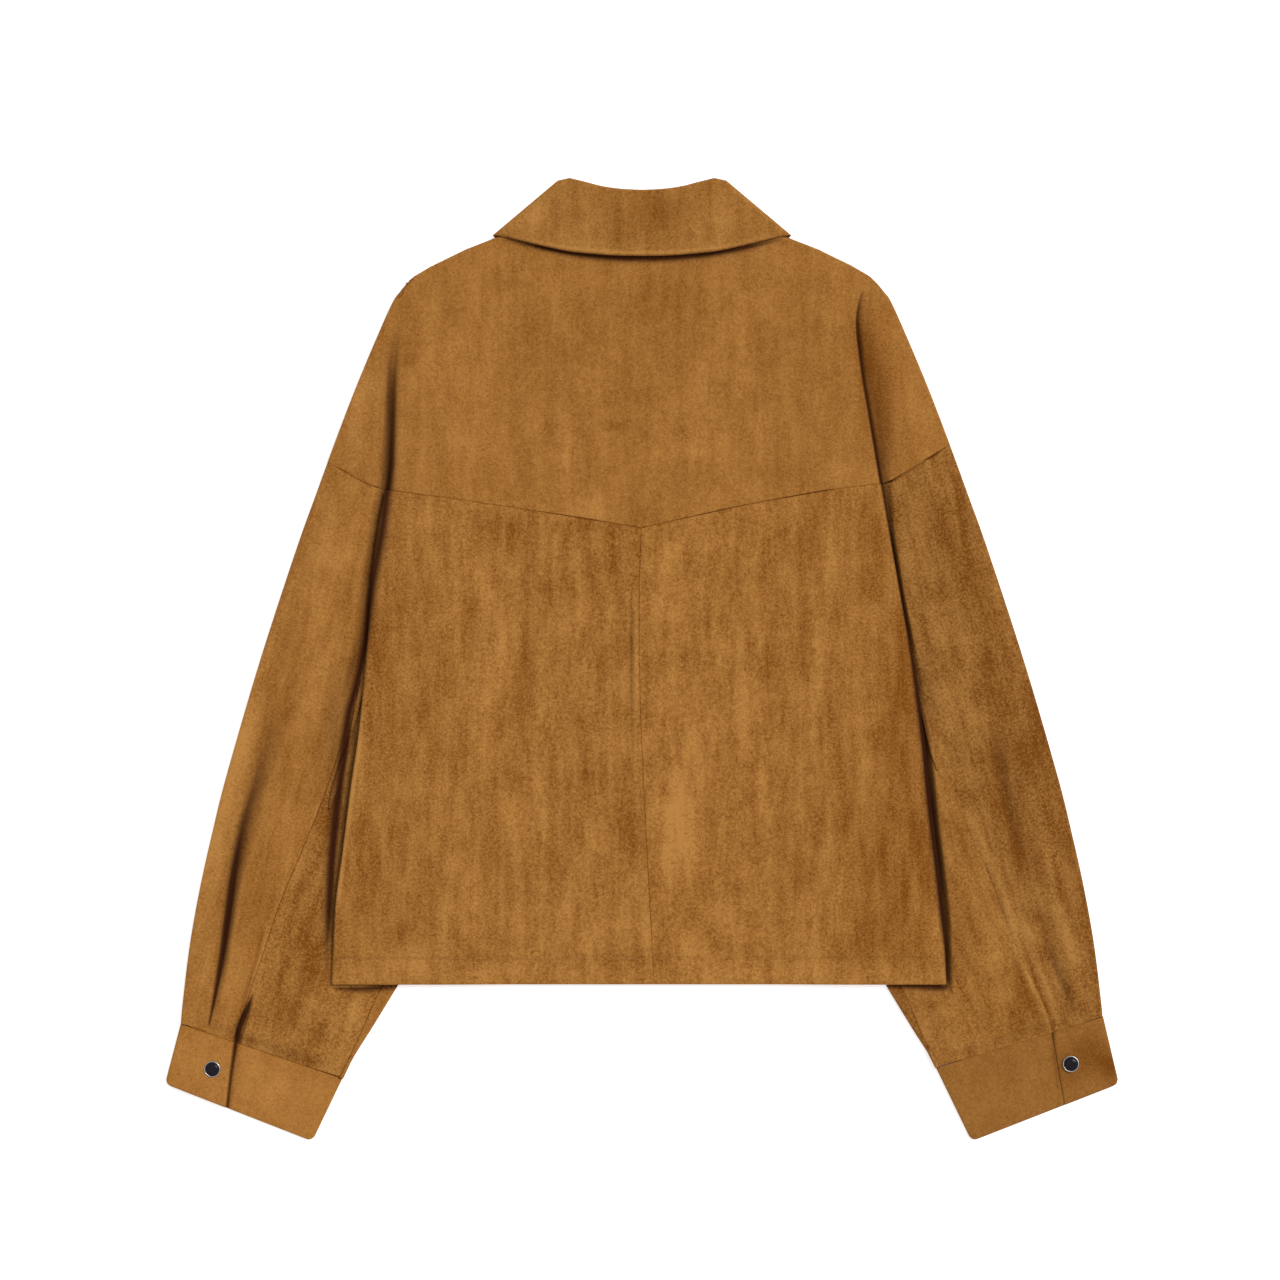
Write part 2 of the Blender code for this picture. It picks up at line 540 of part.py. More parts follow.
def make_cuff(name, side):
    """A band folded flat, whose outer end laps over its inner end and is snapped there."""
    mirrored = side["sign"] < 0
    outer_top, inner_top = [np.array(point) for point in side["cuff_top"]]
    outer_end, inner_end = [np.array(point) for point in side["cuff_bottom"]]
    levels = [0, 0.5, 0.94, 1]
    pulled = [0, 0, 0, 1.6]                 # the lower corners are rounded
    low_top = 2 * CLOTH + 0.6
    flap_top = low_top + LAYER
    columns = []

    def add(measure, height):
        """One column: its distance in from the outer fold, or from the inner fold when negative."""
        column = []
        for level, pull in zip(levels, pulled):
            start = outer_top + (outer_end - outer_top) * level
            end = inner_top + (inner_end - inner_top) * level
            width = np.linalg.norm(end - start)
            place = measure(level, width, pull)
            across, up = start + (end - start) * place / width
            column.append((across, up, height))
        columns.append(column)

    def flap_end(level, width):
        top, bottom = side["flap"]
        return (top + (bottom - top) * level) * width

    def fold(at_outer, top):
        radius = top / 2
        for angle in (-90, -45, 0, 45, 90):
            turn = math.radians(angle)
            inset = radius * (1 - math.cos(turn))
            height = radius * (1 + math.sin(turn))
            if at_outer:
                add(lambda level, width, pull: pull + inset, height)
            else:
                add(lambda level, width, pull: width - pull - inset, top - height)

    add(lambda level, width, pull: flap_end(level, width) - UNDERLAP, low_top)
    for share in (0.33, 0.67):
        add(lambda level, width, pull: flap_end(level, width) - UNDERLAP
            + (width - flap_end(level, width) + UNDERLAP) * share, low_top)
    fold(False, low_top)
    for share in (0.25, 0.5, 0.75):
        add(lambda level, width, pull: width * (1 - share), 0.0)
    fold(True, flap_top)
    for share in (0.5, 1.0):
        add(lambda level, width, pull: flap_end(level, width) * share, flap_top)
    wall(f"cuff_{name}", columns, SUEDE, mirrored, turned=True)

    across, up = side["snap"]
    rim = SNAP_RADIUS
    snap(f"cuff_snap_{name}", side["sign"] * across, up, flap_top + 0.3,
         [(rim * 0.35, SNAP_HEIGHT - 0.1), (rim * 0.62, SNAP_HEIGHT - 0.45), (rim * 0.84, SNAP_HEIGHT - 1.1),
          (rim * 0.92, 1.0), (rim, 0.7), (rim, 0.0)])


# ---- Collar ----

def turned_in(fold, neighbour, radius):
    """The column that lies a radius inside a folded edge, on the way to the neighbouring one."""
    fold, neighbour = np.array(fold), np.array(neighbour)
    line = fold[2:] - fold[:2]
    inward = np.array([line[1], -line[0]]) / np.linalg.norm(line)
    if inward[0] > 0:
        inward = -inward
    ends = []
    for end in (slice(0, 2), slice(2, 4)):
        way = neighbour[end] - fold[end]
        ends.append(fold[end] + way * radius / way.dot(inward))
    return np.concatenate(ends)


def collar_columns(back, side_fold, front, top, bottom):
    """Columns of half a collar piece, from the centre back round the side fold to the front edge."""
    radius = (top - bottom) / 2
    rows = [(*row, top) for row in back]
    for angle in (90, 45, 0, -45, -90):
        turn = math.radians(angle)
        inner = turned_in(side_fold, back[-1] if angle > 0 else front[0], radius)
        ends = np.array(side_fold) + (inner - side_fold) * (1 - math.cos(turn))
        rows.append((*ends, bottom + radius * (1 + math.sin(turn))))
    rows += [(*row, bottom) for row in front]
    columns = []
    for inner_x, inner_y, outer_x, outer_y, height in rows:
        columns.append([(inner_x + (outer_x - inner_x) * share, inner_y + (outer_y - inner_y) * share, height)
                        for share in (0, 0.09, 0.3, 0.5, 0.7, 0.92, 1)])
    return columns


def make_collar():
    half = collar_columns(FALL_BACK, FALL_SIDE, FALL_FRONT, FALL_TOP, 0.0)
    for column in half[:len(FALL_BACK)]:
        x, y, z = column[0]
        column[0] = (x, y, z - 1.0)         # the fall rolls over the stand along its top
    columns = [[(-x, y, z) for x, y, z in column] for column in half[:0:-1]] + half
    wall("collar_fall", columns, SUEDE)
    half = collar_columns(STAND_BACK, STAND_SIDE, STAND_FRONT, BACK_TOP, LAYER)
    half = [column[::-1] for column in half]
    columns = [[(-x, y, z) for x, y, z in column] for column in half[:0:-1]] + half
    wall("collar_stand", columns, SUEDE_DARK)


for thing in list(bpy.data.objects):
    bpy.data.objects.remove(thing)
JACKET = bpy.data.collections.new("jacket")
CUTTERS = bpy.data.collections.new("cutters")
for group in (JACKET, CUTTERS):
    bpy.context.scene.collection.children.link(group)
make_back()
make_fronts()
make_sleeves()
make_collar()
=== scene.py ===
# A cropped suede jacket lying face down on a pale floor, seen from straight above.
# X runs across the back, Y up to the collar, Z up from the floor. Tables are in millimetres;
# "across" is measured outwards from the centre back, the same way on both sides.
import math
import bmesh
import bpy
import numpy as np
from mathutils import Matrix, Vector, noise


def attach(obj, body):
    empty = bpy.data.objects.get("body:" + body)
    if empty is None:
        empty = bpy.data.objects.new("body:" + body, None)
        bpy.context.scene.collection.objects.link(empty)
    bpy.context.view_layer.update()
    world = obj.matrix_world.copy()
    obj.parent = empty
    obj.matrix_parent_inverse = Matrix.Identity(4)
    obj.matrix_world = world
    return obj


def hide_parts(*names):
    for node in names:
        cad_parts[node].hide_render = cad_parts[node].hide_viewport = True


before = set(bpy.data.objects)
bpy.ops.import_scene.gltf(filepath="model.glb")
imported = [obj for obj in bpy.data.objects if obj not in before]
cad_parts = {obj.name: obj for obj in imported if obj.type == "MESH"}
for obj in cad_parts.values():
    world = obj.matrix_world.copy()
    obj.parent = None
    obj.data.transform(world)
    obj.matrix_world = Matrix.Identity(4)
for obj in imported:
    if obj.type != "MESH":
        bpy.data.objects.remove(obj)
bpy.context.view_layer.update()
mm = 0.001

body = {
    "cloth": 1.4,               # thickness of the suede cloth
    "seam": -0.04,              # half the gap between two sewn pieces, whose edges just overlap
    "hem": -246.9,              # height of the hem's edge
    "armpit": -8.0,
    "middle": 7.0,              # top of the back along its middle
    "rise": 3.6,                # how much higher it lies on the sleeves
    "riseAcross": (90, 160),    # where that starts and ends: across, and down
    "riseDown": (-285, -165),
    "neckSink": 1.4,            # how far it sinks below the collar, and where: up, and across
    "neckUp": (284, 306),
    "neckAcross": (70, 110),
    "waves": [(0.5, 55, 3.1), (0.2, 17, 8.4)],     # unevenness of the back: height, size, seed
    "tucked": 3.1,              # top of a sleeve under the body
    "puff": 3.6,                # rise of a sleeve between its folds
    "puffRun": (1, 28),         # where that starts and ends, measured in from a fold
    "valleyFill": 0.8,          # how far the valley beside the body fills up at its end
    "hemRun": 11.0,             # how far below the hem a sleeve has risen
    "underFold": 1.8,           # radius of a sleeve's fold under the body
    "outerFold": 2.6,           # radius of a sleeve's fold along the arm
    "frontOnSleeve": 3.9,       # underside of a front over a sleeve
    "layer": 1.7,
    "fallTop": 8.4,             # top of the collar on the back, at its folded ends
    "cuffLow": 3.4,             # top of a cuff
    "cuffRun": (0.3, 12),       # where a sleeve comes down to its cuff, measured up from the seam
    "lapRun": 0.02,             # share of the cuff's width over which the lap's end drops
}

# From the neck point over the shoulder and down the arm to the cuff: across, up
outline = [
    (81.3, 333.8), (112.5, 320.4), (126.9, 315.0), (139.1, 309.7), (151.6, 303.6), (163.4, 297.5),
    (173.3, 291.5), (179.4, 285.4), (184.3, 279.3), (188.9, 273.2), (198.7, 251.9), (216.6, 209.4),
    (233.0, 166.8), (248.5, 124.3), (263.7, 81.7), (291.4, -3.4), (316.2, -88.5), (326.8, -131.1),
    (336.3, -173.7), (343.9, -216.2), (349.2, -258.8), (350.9, -277.0),
]
# A sleeve's inner fold: across, up
innerFold = [
    (202.9, -53.6), (180.0, -99.0), (165.0, -145.0), (161.0, -183.0), (168.0, -217.0), (185.3, -247.3),
    (205.2, -280.1), (218.5, -301.3), (229.9, -322.6),
]
# Lower edge of the yoke: x, y
yokeSeam = [
    (-239.6, 150.1), (-219.2, 141.0), (-202.9, 131.1), (-195.3, 128.8), (-183.9, 128.1), (-124.2, 119.3),
    (-62.3, 110.3), (-30.4, 105.3), (-0.8, 99.9), (28.1, 106.6), (70.7, 116.1), (104.9, 122.6),
    (142.1, 129.0), (180.1, 133.4), (187.0, 133.0), (195.0, 141.0), (212.8, 151.9), (234.2, 163.5),
]
# Centre back seam: x, y
centreSeam = [(-0.8, 99.9), (-2.3, 40.7), (-1.5, -30.0), (2.6, -122.0), (5.1, -171.4), (9.1, -246.9)]

sides = {
    "left": {
        "sign": -1,
        "armSeamUp": 150.1,
        "bodyEdge": [(194.8, 128.4), (200.6, 98.4), (206.0, 52.8), (209.0, 7.2), (215.1, -54.3),
                     (221.2, -96.1), (227.2, -144.0), (232.6, -183.5), (234.8, -223.8), (235.8, -246.9)],
        "crease": [(168.0, 294.6), (178.0, 284.5), (183.0, 274.0), (187.2, 243.0), (190.0, 212.0),
                   (190.8, 182.0), (192.0, 146.0), (195.3, 128.8)],
        "creaseStart": 272.0, "creaseRun": 95.0, "creaseLip": 5.0, "creaseDepth": 1.0,
        # The valley beside the body: up, width of its flat floor, width of its slope
        "valley": [(250, 0.3, 5.0), (190, 0.5, 6.0), (140, 1.0, 7.0), (100, 1.5, 8.0), (45, 2.0, 9.0),
                   (-31, 5.0, 8.0), (-107, 7.5, 6.0), (-160, 6.0, 5.0), (-185, 4.0, 4.0),
                   (-205, 3.0, 4.0)],
        "valleyEnd": (202.0, 236.0),
        "yokeCorner": (202.9, 131.1),
        "backSeam": [(211.3, 7.2), (221.2, -34.6), (234.8, -84.7), (254.6, -136.4), (274.4, -183.5),
                     (286.5, -220.0), (295.6, -245.9)],
        "pleat": [(222.0, 142.4), (262.0, 20.0), (280.4, -50.5), (298.7, -114.4), (312.4, -173.7),
                  (320.0, -229.9), (329.6, -281.0)],
        "pleatStart": 25.0, "pleatDepth": 5.6, "pleatWidth": (19.0, 6.5), "pleatLip": 2.6,
        "slit": 4.5,
        "cuffTop": [(350.9, -277.0), (227.9, -318.8)],
        "cuffBottom": [(362.9, -322.8), (250.8, -366.6)],
        "flap": (0.326, 0.412), "lap": 1.7,      # shares of the cuff's width at its top and bottom, height
        "snap": (326.6, -311.4),
    },
    "right": {
        "sign": 1,
        "armSeamUp": 163.5,
        "bodyEdge": [(181.6, 133.4), (185.1, 116.7), (190.5, 82.0), (196.8, 46.7), (207.5, -13.3),
                     (214.3, -61.9), (219.9, -119.7), (223.8, -150.9), (228.8, -194.2), (231.0, -246.9)],
        "crease": [(166.0, 295.8), (167.4, 286.0), (166.8, 277.0), (164.2, 268.0), (163.2, 256.0),
                   (164.6, 238.3), (167.6, 214.0), (171.4, 191.9), (176.0, 165.3), (181.4, 133.4)],
        "creaseStart": 286.0, "creaseRun": 46.0, "creaseLip": 1.6, "creaseDepth": 0.55,
        "valley": [(250, 0.2, 3.0), (190, 0.3, 10.0), (140, 0.4, 10.0), (100, 0.4, 4.0), (45, 0.4, 3.0),
                   (-31, 0.8, 5.0), (-107, 1.0, 5.0), (-185, 0.8, 5.0)],
        "valleyEnd": (300.0, 320.0),
        "yokeCorner": (188.6, 134.4),
        "backSeam": [(203.5, 3.0), (217.0, -34.6), (231.5, -84.7), (251.5, -136.4), (266.0, -170.6),
                     (276.2, -199.5), (289.3, -230.4), (302.5, -256.5)],
        "pleat": [(216.0, 153.5), (250.0, 20.0), (264.0, -60.0), (275.9, -106.8), (302.5, -205.6),
                  (327.9, -277.0)],
        "pleatStart": -90.0, "pleatDepth": 1.6, "pleatWidth": (11.0, 5.0), "pleatLip": 5.0,
        "slit": 0.0,
        "cuffTop": [(350.9, -271.6), (223.7, -310.6)],
        "cuffBottom": [(362.9, -322.8), (250.8, -366.6)],
        "flap": (0.306, 0.370), "lap": 1.0,
        "snap": (326.0, -307.4),
    },
}

# On both sides: how a pleat and a shoulder crease deepen, and where the armhole runs
pleats = {
    "fullAt": 250, "growth": 0.6,        # how far down a pleat is full, and how it deepens on the way
    "lipStart": 0.6,                     # how far past its middle the steep side starts
    "closing": (225, 276), "closed": 0.85,
}
armholes = {
    "inset": 5.0, "turn": (1.2, 20),     # from the body's edge to the armpit, and on to the inner fold
    "top": (31, 28), "middle": (1.5, 60.0),
}
shoulderCrease = {
    "wall": (-1, 6),                     # where the arm's side of the crease rises, across
    "deeper": (140, 190), "growth": 0.7, # it is deepest below the first of these heights
}


# Curves and slopes; x, y and up may be whole arrays

def ease(value, start, end):
    share = np.clip((np.asarray(value, float) - start) / (end - start), 0.0, 1.0)
    return share * share * (3 - 2 * share)


def smoothCurve(points, steps=8):        # a curve through all the points
    points = np.array(points, float)
    ends = np.vstack([2 * points[0] - points[1], points, 2 * points[-1] - points[-2]])
    curve = []
    for before, start, end, after in zip(ends, ends[1:], ends[2:], ends[3:]):
        for t in np.arange(steps) / steps:
            bend = 2 * before - 5 * start + 4 * end - after
            curve.append(0.5 * (2 * start + (end - before) * t + bend * t ** 2
                                + (3 * start - before - 3 * end + after) * t ** 3))
    return np.array(curve + [points[-1]])


def lengthsOf(curve):
    return np.concatenate([[0], np.cumsum(np.linalg.norm(np.diff(curve, axis=0), axis=1))])


def pointsAt(curve, distances):
    curve = np.array(curve, float)
    lengths = lengthsOf(curve)
    return np.column_stack([np.interp(distances, lengths, column) for column in curve.T])


def spaced(curve, shares):
    return pointsAt(curve, np.array(shares) * lengthsOf(np.array(curve, float))[-1])


def acrossAt(curve, up):                 # how far out a downward curve is at a height
    curve = np.array(curve)
    return np.interp(-np.asarray(up, float), -curve[:, 1], curve[:, 0])


def stretch(curve, top, bottom):
    kept = [tuple(point) for point in curve if bottom < point[1] < top]
    return [(float(acrossAt(curve, top)), top)] + kept + [(float(acrossAt(curve, bottom)), bottom)]


def beside(curve, distance):             # a downward curve moved outwards
    curve = np.array(curve, float)
    along = np.gradient(curve, axis=0)
    along /= np.linalg.norm(along, axis=1)[:, None]
    return curve + np.column_stack([-along[:, 1], along[:, 0]]) * np.array(distance).reshape(-1, 1)


def distanceTo(curve, x, y):             # distances to a curve, and the share of its length there
    curve = np.array(curve, float)
    start, side = curve[:-1], np.diff(curve, axis=0)
    spot = np.column_stack([np.ravel(x), np.ravel(y)])
    squares = (side ** 2).sum(axis=1)
    toStart = spot[:, None, :] - start[None, :, :]
    share = np.clip((toStart * side[None]).sum(axis=2) / squares[None], 0, 1)
    apart = np.linalg.norm(toStart - share[..., None] * side[None], axis=2)
    nearest = apart.argmin(axis=1)
    rows = np.arange(len(spot))
    lengths = lengthsOf(curve)
    along = lengths[nearest] + share[rows, nearest] * np.sqrt(squares[nearest])
    return apart[rows, nearest], along / lengths[-1]


def waves(x, y, size, seed):             # a soft unevenness from 0 to 1
    return np.array([noise.noise(Vector((a / size, b / size, seed))) for a, b in zip(x, y)]) * 0.5 + 0.5


def uneven(level, x, y, table, sign=1):  # a level with the waves of a table on it
    for height, size, seed in table:
        level = level + height * waves(x, y, size, seed * sign)
    return level


def strokes(table, x, y):                # sum of listed soft strokes: amount, width, path
    total = np.zeros(len(x))
    for amount, width, path in table:
        path = smoothCurve(path) if len(path) > 2 else path
        apart, share = distanceTo(path, x, y)
        total += amount * np.sqrt(np.sin(np.pi * share) * 0.9 + 0.1) * np.exp(-(apart / width) ** 2)
    return total


def paintedShadowsAt(table, x, y):                 # hand-placed painted shadows of gaps, creases and raised edges; see the table of painted shadows
    total = np.zeros(len(x))
    for path in table:
        curve = smoothCurve(path)
        apart, share = distanceTo(curve[:, :2], x, y)
        lengths = lengthsOf(curve[:, :2])
        columns = [np.interp(share * lengths[-1], lengths, column) for column in curve.T]
        middle, _, dark, toLeft, toRight = columns
        total = np.maximum(total, dark * np.exp(-(apart / np.where(x < middle, toLeft, toRight)) ** 2))
    return total


# Painted shadow: every point of a shadow's path is x, y, how dark it is, and how far the dark reaches to its
# left and right
# Painted shadow along each shoulder crease and down the crevice where the body lies over its sleeve
leftCore = [(-187.0, 252.0, 0.05, 2.8, 2.8), (-190.4, 228.0, 0.42, 3.6, 3.8),
            (-191.0, 212.4, 0.72, 3.9, 4.2), (-191.4, 174.4, 0.90, 4.4, 4.6),
            (-192.6, 136.4, 1.02, 5.0, 4.8), (-197.6, 96.1, 1.02, 5.8, 4.6), (-204.2, 58.1, 1.03, 6.0, 4.0),
            (-209.4, 19.4, 1.04, 5.8, 3.5), (-216.2, -17.0, 1.05, 5.2, 3.4),
            (-222.0, -37.6, 1.06, 5.0, 3.5), (-224.9, -58.0, 1.08, 5.2, 3.7),
            (-230.2, -100.0, 1.10, 5.2, 3.7), (-234.6, -141.0, 1.10, 4.8, 3.5),
            (-237.2, -182.8, 1.05, 4.2, 3.0), (-238.3, -200.0, 0.90, 3.4, 2.4),
            (-239.0, -217.0, 0.55, 3.0, 2.0), (-238.5, -236.0, 0.14, 2.4, 2.0)]
rightCore = [(168.6, 281.0, 0.05, 1.0, 1.2), (165.8, 274.0, 0.60, 1.1, 1.6), (163.6, 262.0, 0.85, 0.9, 1.8),
             (163.3, 250.0, 0.98, 0.9, 2.2), (165.1, 236.0, 1.02, 1.0, 2.3), (168.1, 213.0, 1.04, 1.0, 2.4),
             (171.9, 191.0, 1.05, 1.0, 2.6), (176.4, 164.5, 1.05, 1.0, 2.6), (180.9, 139.0, 1.08, 1.1, 2.4),
             (182.9, 129.0, 1.10, 1.2, 1.5), (186.5, 107.5, 1.08, 1.1, 1.3), (191.3, 80.0, 1.04, 1.0, 1.2),
             (197.0, 46.7, 1.02, 1.0, 1.2), (202.0, 18.0, 1.04, 1.2, 1.8), (208.0, -20.0, 1.12, 2.0, 3.6),
             (213.4, -61.9, 1.18, 2.5, 4.4), (217.9, -107.0, 1.20, 2.8, 5.4),
             (223.2, -150.9, 1.20, 2.8, 5.6), (227.4, -190.0, 1.14, 2.4, 4.4),
             (230.6, -220.0, 1.04, 1.7, 3.7), (231.8, -244.0, 0.90, 1.0, 3.2)]
# Painted shadows for each kind of piece: the crevices and creases, the shade beside the right crease, the
# collar's shadow on the yoke, the centre crease, the line of the hem stitching, the hem's shadow on the
# sleeves, the pleats, the slit and the ends of the cuff flaps
paintedShadows = {
    "yoke": [
        leftCore[:6], rightCore[:11],
        [(169.0, 284.0, 0.05, 2.0, 5.0), (169.0, 262.0, 0.16, 3.0, 8.0), (171.0, 236.0, 0.20, 3.0, 10.0),
         (176.0, 205.0, 0.22, 4.0, 11.0), (182.0, 172.0, 0.22, 4.0, 11.0), (187.0, 148.0, 0.16, 4.0, 8.0)],
        [(-104.0, 319.8, 0.40, 1.2, 1.2), (-80.0, 314.0, 1.05, 2.1, 2.1), (-50.0, 308.4, 1.15, 2.7, 2.7),
         (-19.0, 305.5, 1.20, 3.0, 3.0), (0.0, 305.1, 1.20, 3.0, 3.0), (19.0, 305.5, 1.20, 3.0, 3.0),
         (50.0, 308.2, 1.15, 2.7, 2.7), (80.0, 313.4, 1.05, 2.2, 2.2), (104.0, 319.2, 0.50, 1.3, 1.3)],
    ],
    "back": [
        leftCore[3:9], rightCore[8:],
        [(-7.4, 60.0, 0.05, 0.9, 0.9), (-8.2, 30.0, 0.42, 0.9, 1.0), (-8.0, -30.0, 0.42, 0.9, 1.0),
         (-7.0, -75.0, 0.05, 0.9, 0.9)],
        [(-232.0, -227.0, 0.20, 1.2, 1.2), (-80.0, -227.2, 0.16, 1.2, 1.2), (60.0, -226.8, 0.14, 1.2, 1.2),
         (228.0, -227.0, 0.22, 1.2, 1.2)],
    ],
    "left": [
        leftCore[3:],
        [(-212.0, 16.0, 0.20, 2.0, 2.0), (-217.7, 3.4, 0.55, 2.6, 2.0), (-224.2, -17.0, 0.50, 3.0, 2.0),
         (-229.0, -37.6, 0.25, 3.0, 2.0)],
        [(-215.0, -30.0, 0.25, 3.0, 3.0), (-218.4, -58.0, 0.52, 4.0, 4.0), (-223.7, -106.8, 0.56, 4.0, 4.0),
         (-229.0, -144.8, 0.56, 3.4, 3.4), (-234.0, -175.0, 0.36, 2.8, 2.8)],
        [(-222.0, 6.0, 0.06, 10.0, 6.0), (-230.0, -40.0, 0.34, 12.0, 6.0), (-236.0, -78.0, 0.26, 9.0, 5.0),
         (-240.0, -110.0, 0.04, 7.0, 5.0)],
        [(-276.0, -30.0, 0.02, 5.0, 8.0), (-284.0, -60.0, 0.26, 4.5, 8.5), (-293.0, -92.0, 0.56, 4.0, 7.0),
         (-302.2, -122.0, 0.86, 3.8, 5.4), (-309.8, -159.3, 1.08, 3.8, 4.8),
         (-315.2, -196.7, 1.22, 3.0, 3.8), (-319.2, -224.6, 1.26, 2.1, 2.8),
         (-322.4, -243.4, 1.20, 1.8, 2.2), (-325.8, -262.0, 1.05, 1.3, 1.7),
         (-329.0, -277.5, 0.80, 0.8, 1.0)],
        [(-295.0, -253.0, 0.30, 0.8, 0.8), (-298.2, -261.0, 1.10, 1.6, 1.8),
         (-302.2, -271.0, 1.35, 2.8, 2.4), (-305.8, -280.0, 1.35, 3.0, 2.4),
         (-308.4, -290.5, 1.30, 2.2, 2.2), (-309.8, -296.0, 1.20, 2.0, 2.0)],
        [(-236.0, -248.8, 0.30, 1.2, 1.2), (-228.0, -250.2, 0.85, 1.6, 1.6),
         (-212.0, -250.4, 1.05, 2.2, 2.2), (-197.0, -249.4, 1.05, 2.2, 2.2),
         (-184.0, -248.6, 0.95, 1.8, 1.8)],
    ],
    "right": [
        rightCore[8:],
        [(183.0, -248.2, 0.75, 1.6, 1.6), (205.0, -248.6, 0.95, 2.0, 2.0), (225.0, -249.4, 1.05, 2.4, 2.4),
         (231.5, -249.0, 1.00, 2.2, 2.2)],
        [(266.0, -50.0, 0.05, 4.0, 5.0), (274.0, -88.0, 0.28, 4.0, 6.0), (281.0, -120.0, 0.22, 4.0, 5.0),
         (286.0, -150.0, 0.04, 3.0, 4.0)],
        [(303.0, -212.0, 0.05, 2.5, 4.0), (312.0, -230.0, 0.38, 2.6, 4.5), (322.0, -252.0, 0.42, 2.4, 4.0),
         (328.0, -268.0, 0.20, 1.6, 2.5)],
    ],
    "cuffLeft": [
        [(-306.9, -282.0, 1.25, 1.8, 2.2), (-308.7, -290.0, 1.25, 1.6, 2.3),
         (-310.6, -300.0, 1.15, 1.1, 2.2), (-313.0, -318.0, 1.08, 1.0, 1.7),
         (-315.6, -341.0, 1.05, 0.9, 1.4)],
    ],
    "cuffRight": [
        [(312.6, -284.0, 0.55, 1.2, 1.2), (313.5, -300.0, 0.25, 1.2, 1.2), (317.0, -340.0, 0.15, 1.0, 1.0)],
    ],
}

outlineCurve = smoothCurve(outline)
for side in sides.values():
    armpit = (float(acrossAt(side["bodyEdge"], body["armpit"])) - armholes["inset"], body["armpit"])
    turn = (armpit[0] + armholes["turn"][0], armpit[1] - armholes["turn"][1])
    side["innerFold"] = smoothCurve([armpit, turn] + innerFold)
    side["bodyCurve"] = smoothCurve(side["bodyEdge"])
    top = (side["yokeCorner"][0] + armholes["top"][0], side["armSeamUp"] - armholes["top"][1])
    side["armhole"] = [top, (armpit[0] - armholes["middle"][0], armholes["middle"][1]), armpit]


# Layers: how high each piece lies over a place

def seamY(x):
    return np.interp(x, [point[0] for point in yokeSeam], [point[1] for point in yokeSeam])


def valleyAt(side, up):                  # width of the flat floor and of the slope beside the body
    ups, flats, slopes = np.array(side["valley"]).T
    return np.interp(-up, -ups, flats), np.interp(-up, -ups, slopes)


def aboveCuff(side, across, up):         # distance from the cuff's seam, and the share of its length
    start, end = [np.array(point) for point in side["cuffTop"]]
    along = (end - start) / np.linalg.norm(end - start)
    dx, dy = across - start[0], up - start[1]
    return dy * -along[0] + dx * along[1], (dx * along[0] + dy * along[1]) / np.linalg.norm(end - start)


def sleeveHeight(side, across, up):
    outer, _ = distanceTo(outlineCurve, across, up)
    inner, _ = distanceTo(side["innerFold"], across, up)
    share = inner / (inner + outer + 0.01)
    level = 2 * (body["underFold"] + (body["outerFold"] - body["underFold"]) * share)
    level = level + body["puff"] * ease(outer, *body["puffRun"]) * ease(inner, *body["puffRun"])
    down = ease(-up, -side["pleatStart"], pleats["fullAt"])
    softStart, softEnd = side["pleatWidth"]
    past = across - acrossAt(side["pleat"], up)
    shape = ease(past, -softStart + (softStart - softEnd) * down, 0)
    shape = shape * (1 - ease(past, pleats["lipStart"], side["pleatLip"]))
    left = 1 - pleats["closed"] * ease(-up, *pleats["closing"])
    level = level - side["pleatDepth"] * down ** pleats["growth"] * shape * left
    above, share = aboveCuff(side, across, up)
    flap = side["flap"][0]
    cuffLevel = body["cuffLow"] + side["lap"] * (1 - ease(share, flap - body["lapRun"], flap))
    level = cuffLevel + (level - cuffLevel) * ease(above, *body["cuffRun"])
    past = across - acrossAt(side["bodyCurve"], up)
    flat, slope = valleyAt(side, up)
    floor = body["tucked"] + (level - body["tucked"]) * body["valleyFill"] * ease(-up, *side["valleyEnd"])
    free = np.maximum(ease(past, flat, flat + slope), ease(body["hem"] - up, 0, body["hemRun"]))
    return floor + (level - floor) * free


def backHeight(x, y):
    rise = body["rise"] * ease(np.abs(x), *body["riseAcross"]) * ease(-y, *body["riseDown"])
    level = body["middle"] + rise
    level = level - body["neckSink"] * ease(y, *body["neckUp"]) * (1 - ease(np.abs(x), *body["neckAcross"]))
    return uneven(level, x, y, body["waves"])


def yokeHeight(side, across, up):
    sign = side["sign"]
    past = across - acrossAt(side["crease"], up)
    arm = 2 * body["outerFold"] + body["puff"]
    opened = ease(side["creaseStart"] - up, 0, side["creaseRun"])
    flat, slope = valleyAt(side, up)
    level = backHeight(sign * across, up)
    level = level + (arm - level) * ease(past, *shoulderCrease["wall"]) * opened
    fromOutline, _ = distanceTo(outlineCurve, across, up)
    edge = 2 * body["outerFold"]
    level = edge + (level - edge) * ease(fromOutline, *body["puffRun"])
    shape = ease(past, -side["creaseLip"], 0) * (1 - ease(past, flat, flat + slope))
    deep = side["creaseDepth"] + (1 - side["creaseDepth"]) * (1 - ease(up, *shoulderCrease["deeper"]))
    floor = body["cloth"] + body["layer"]
    return level + (floor - level) * deep * shape * opened ** shoulderCrease["growth"]


# What all pieces share

def meshOf(name, shape):
    mesh = bpy.data.meshes.new(name)
    shape.to_mesh(mesh)
    shape.free()
    return mesh


def placed(name, data):                  # an object put into the scene
    item = bpy.data.objects.new(name, data)
    bpy.context.scene.collection.objects.link(item)
    return item


# Cloth pieces: guide curves filled with columns, laid over the layers, given thickness by Solidify

roundAngles = np.radians([0, 22.5, 45, 67.5])
roundStops = 1 - np.cos(roundAngles)      # where the rows of a rolled edge lie
roundDrops = 1 - np.sin(roundAngles)      # and how far they have sunk


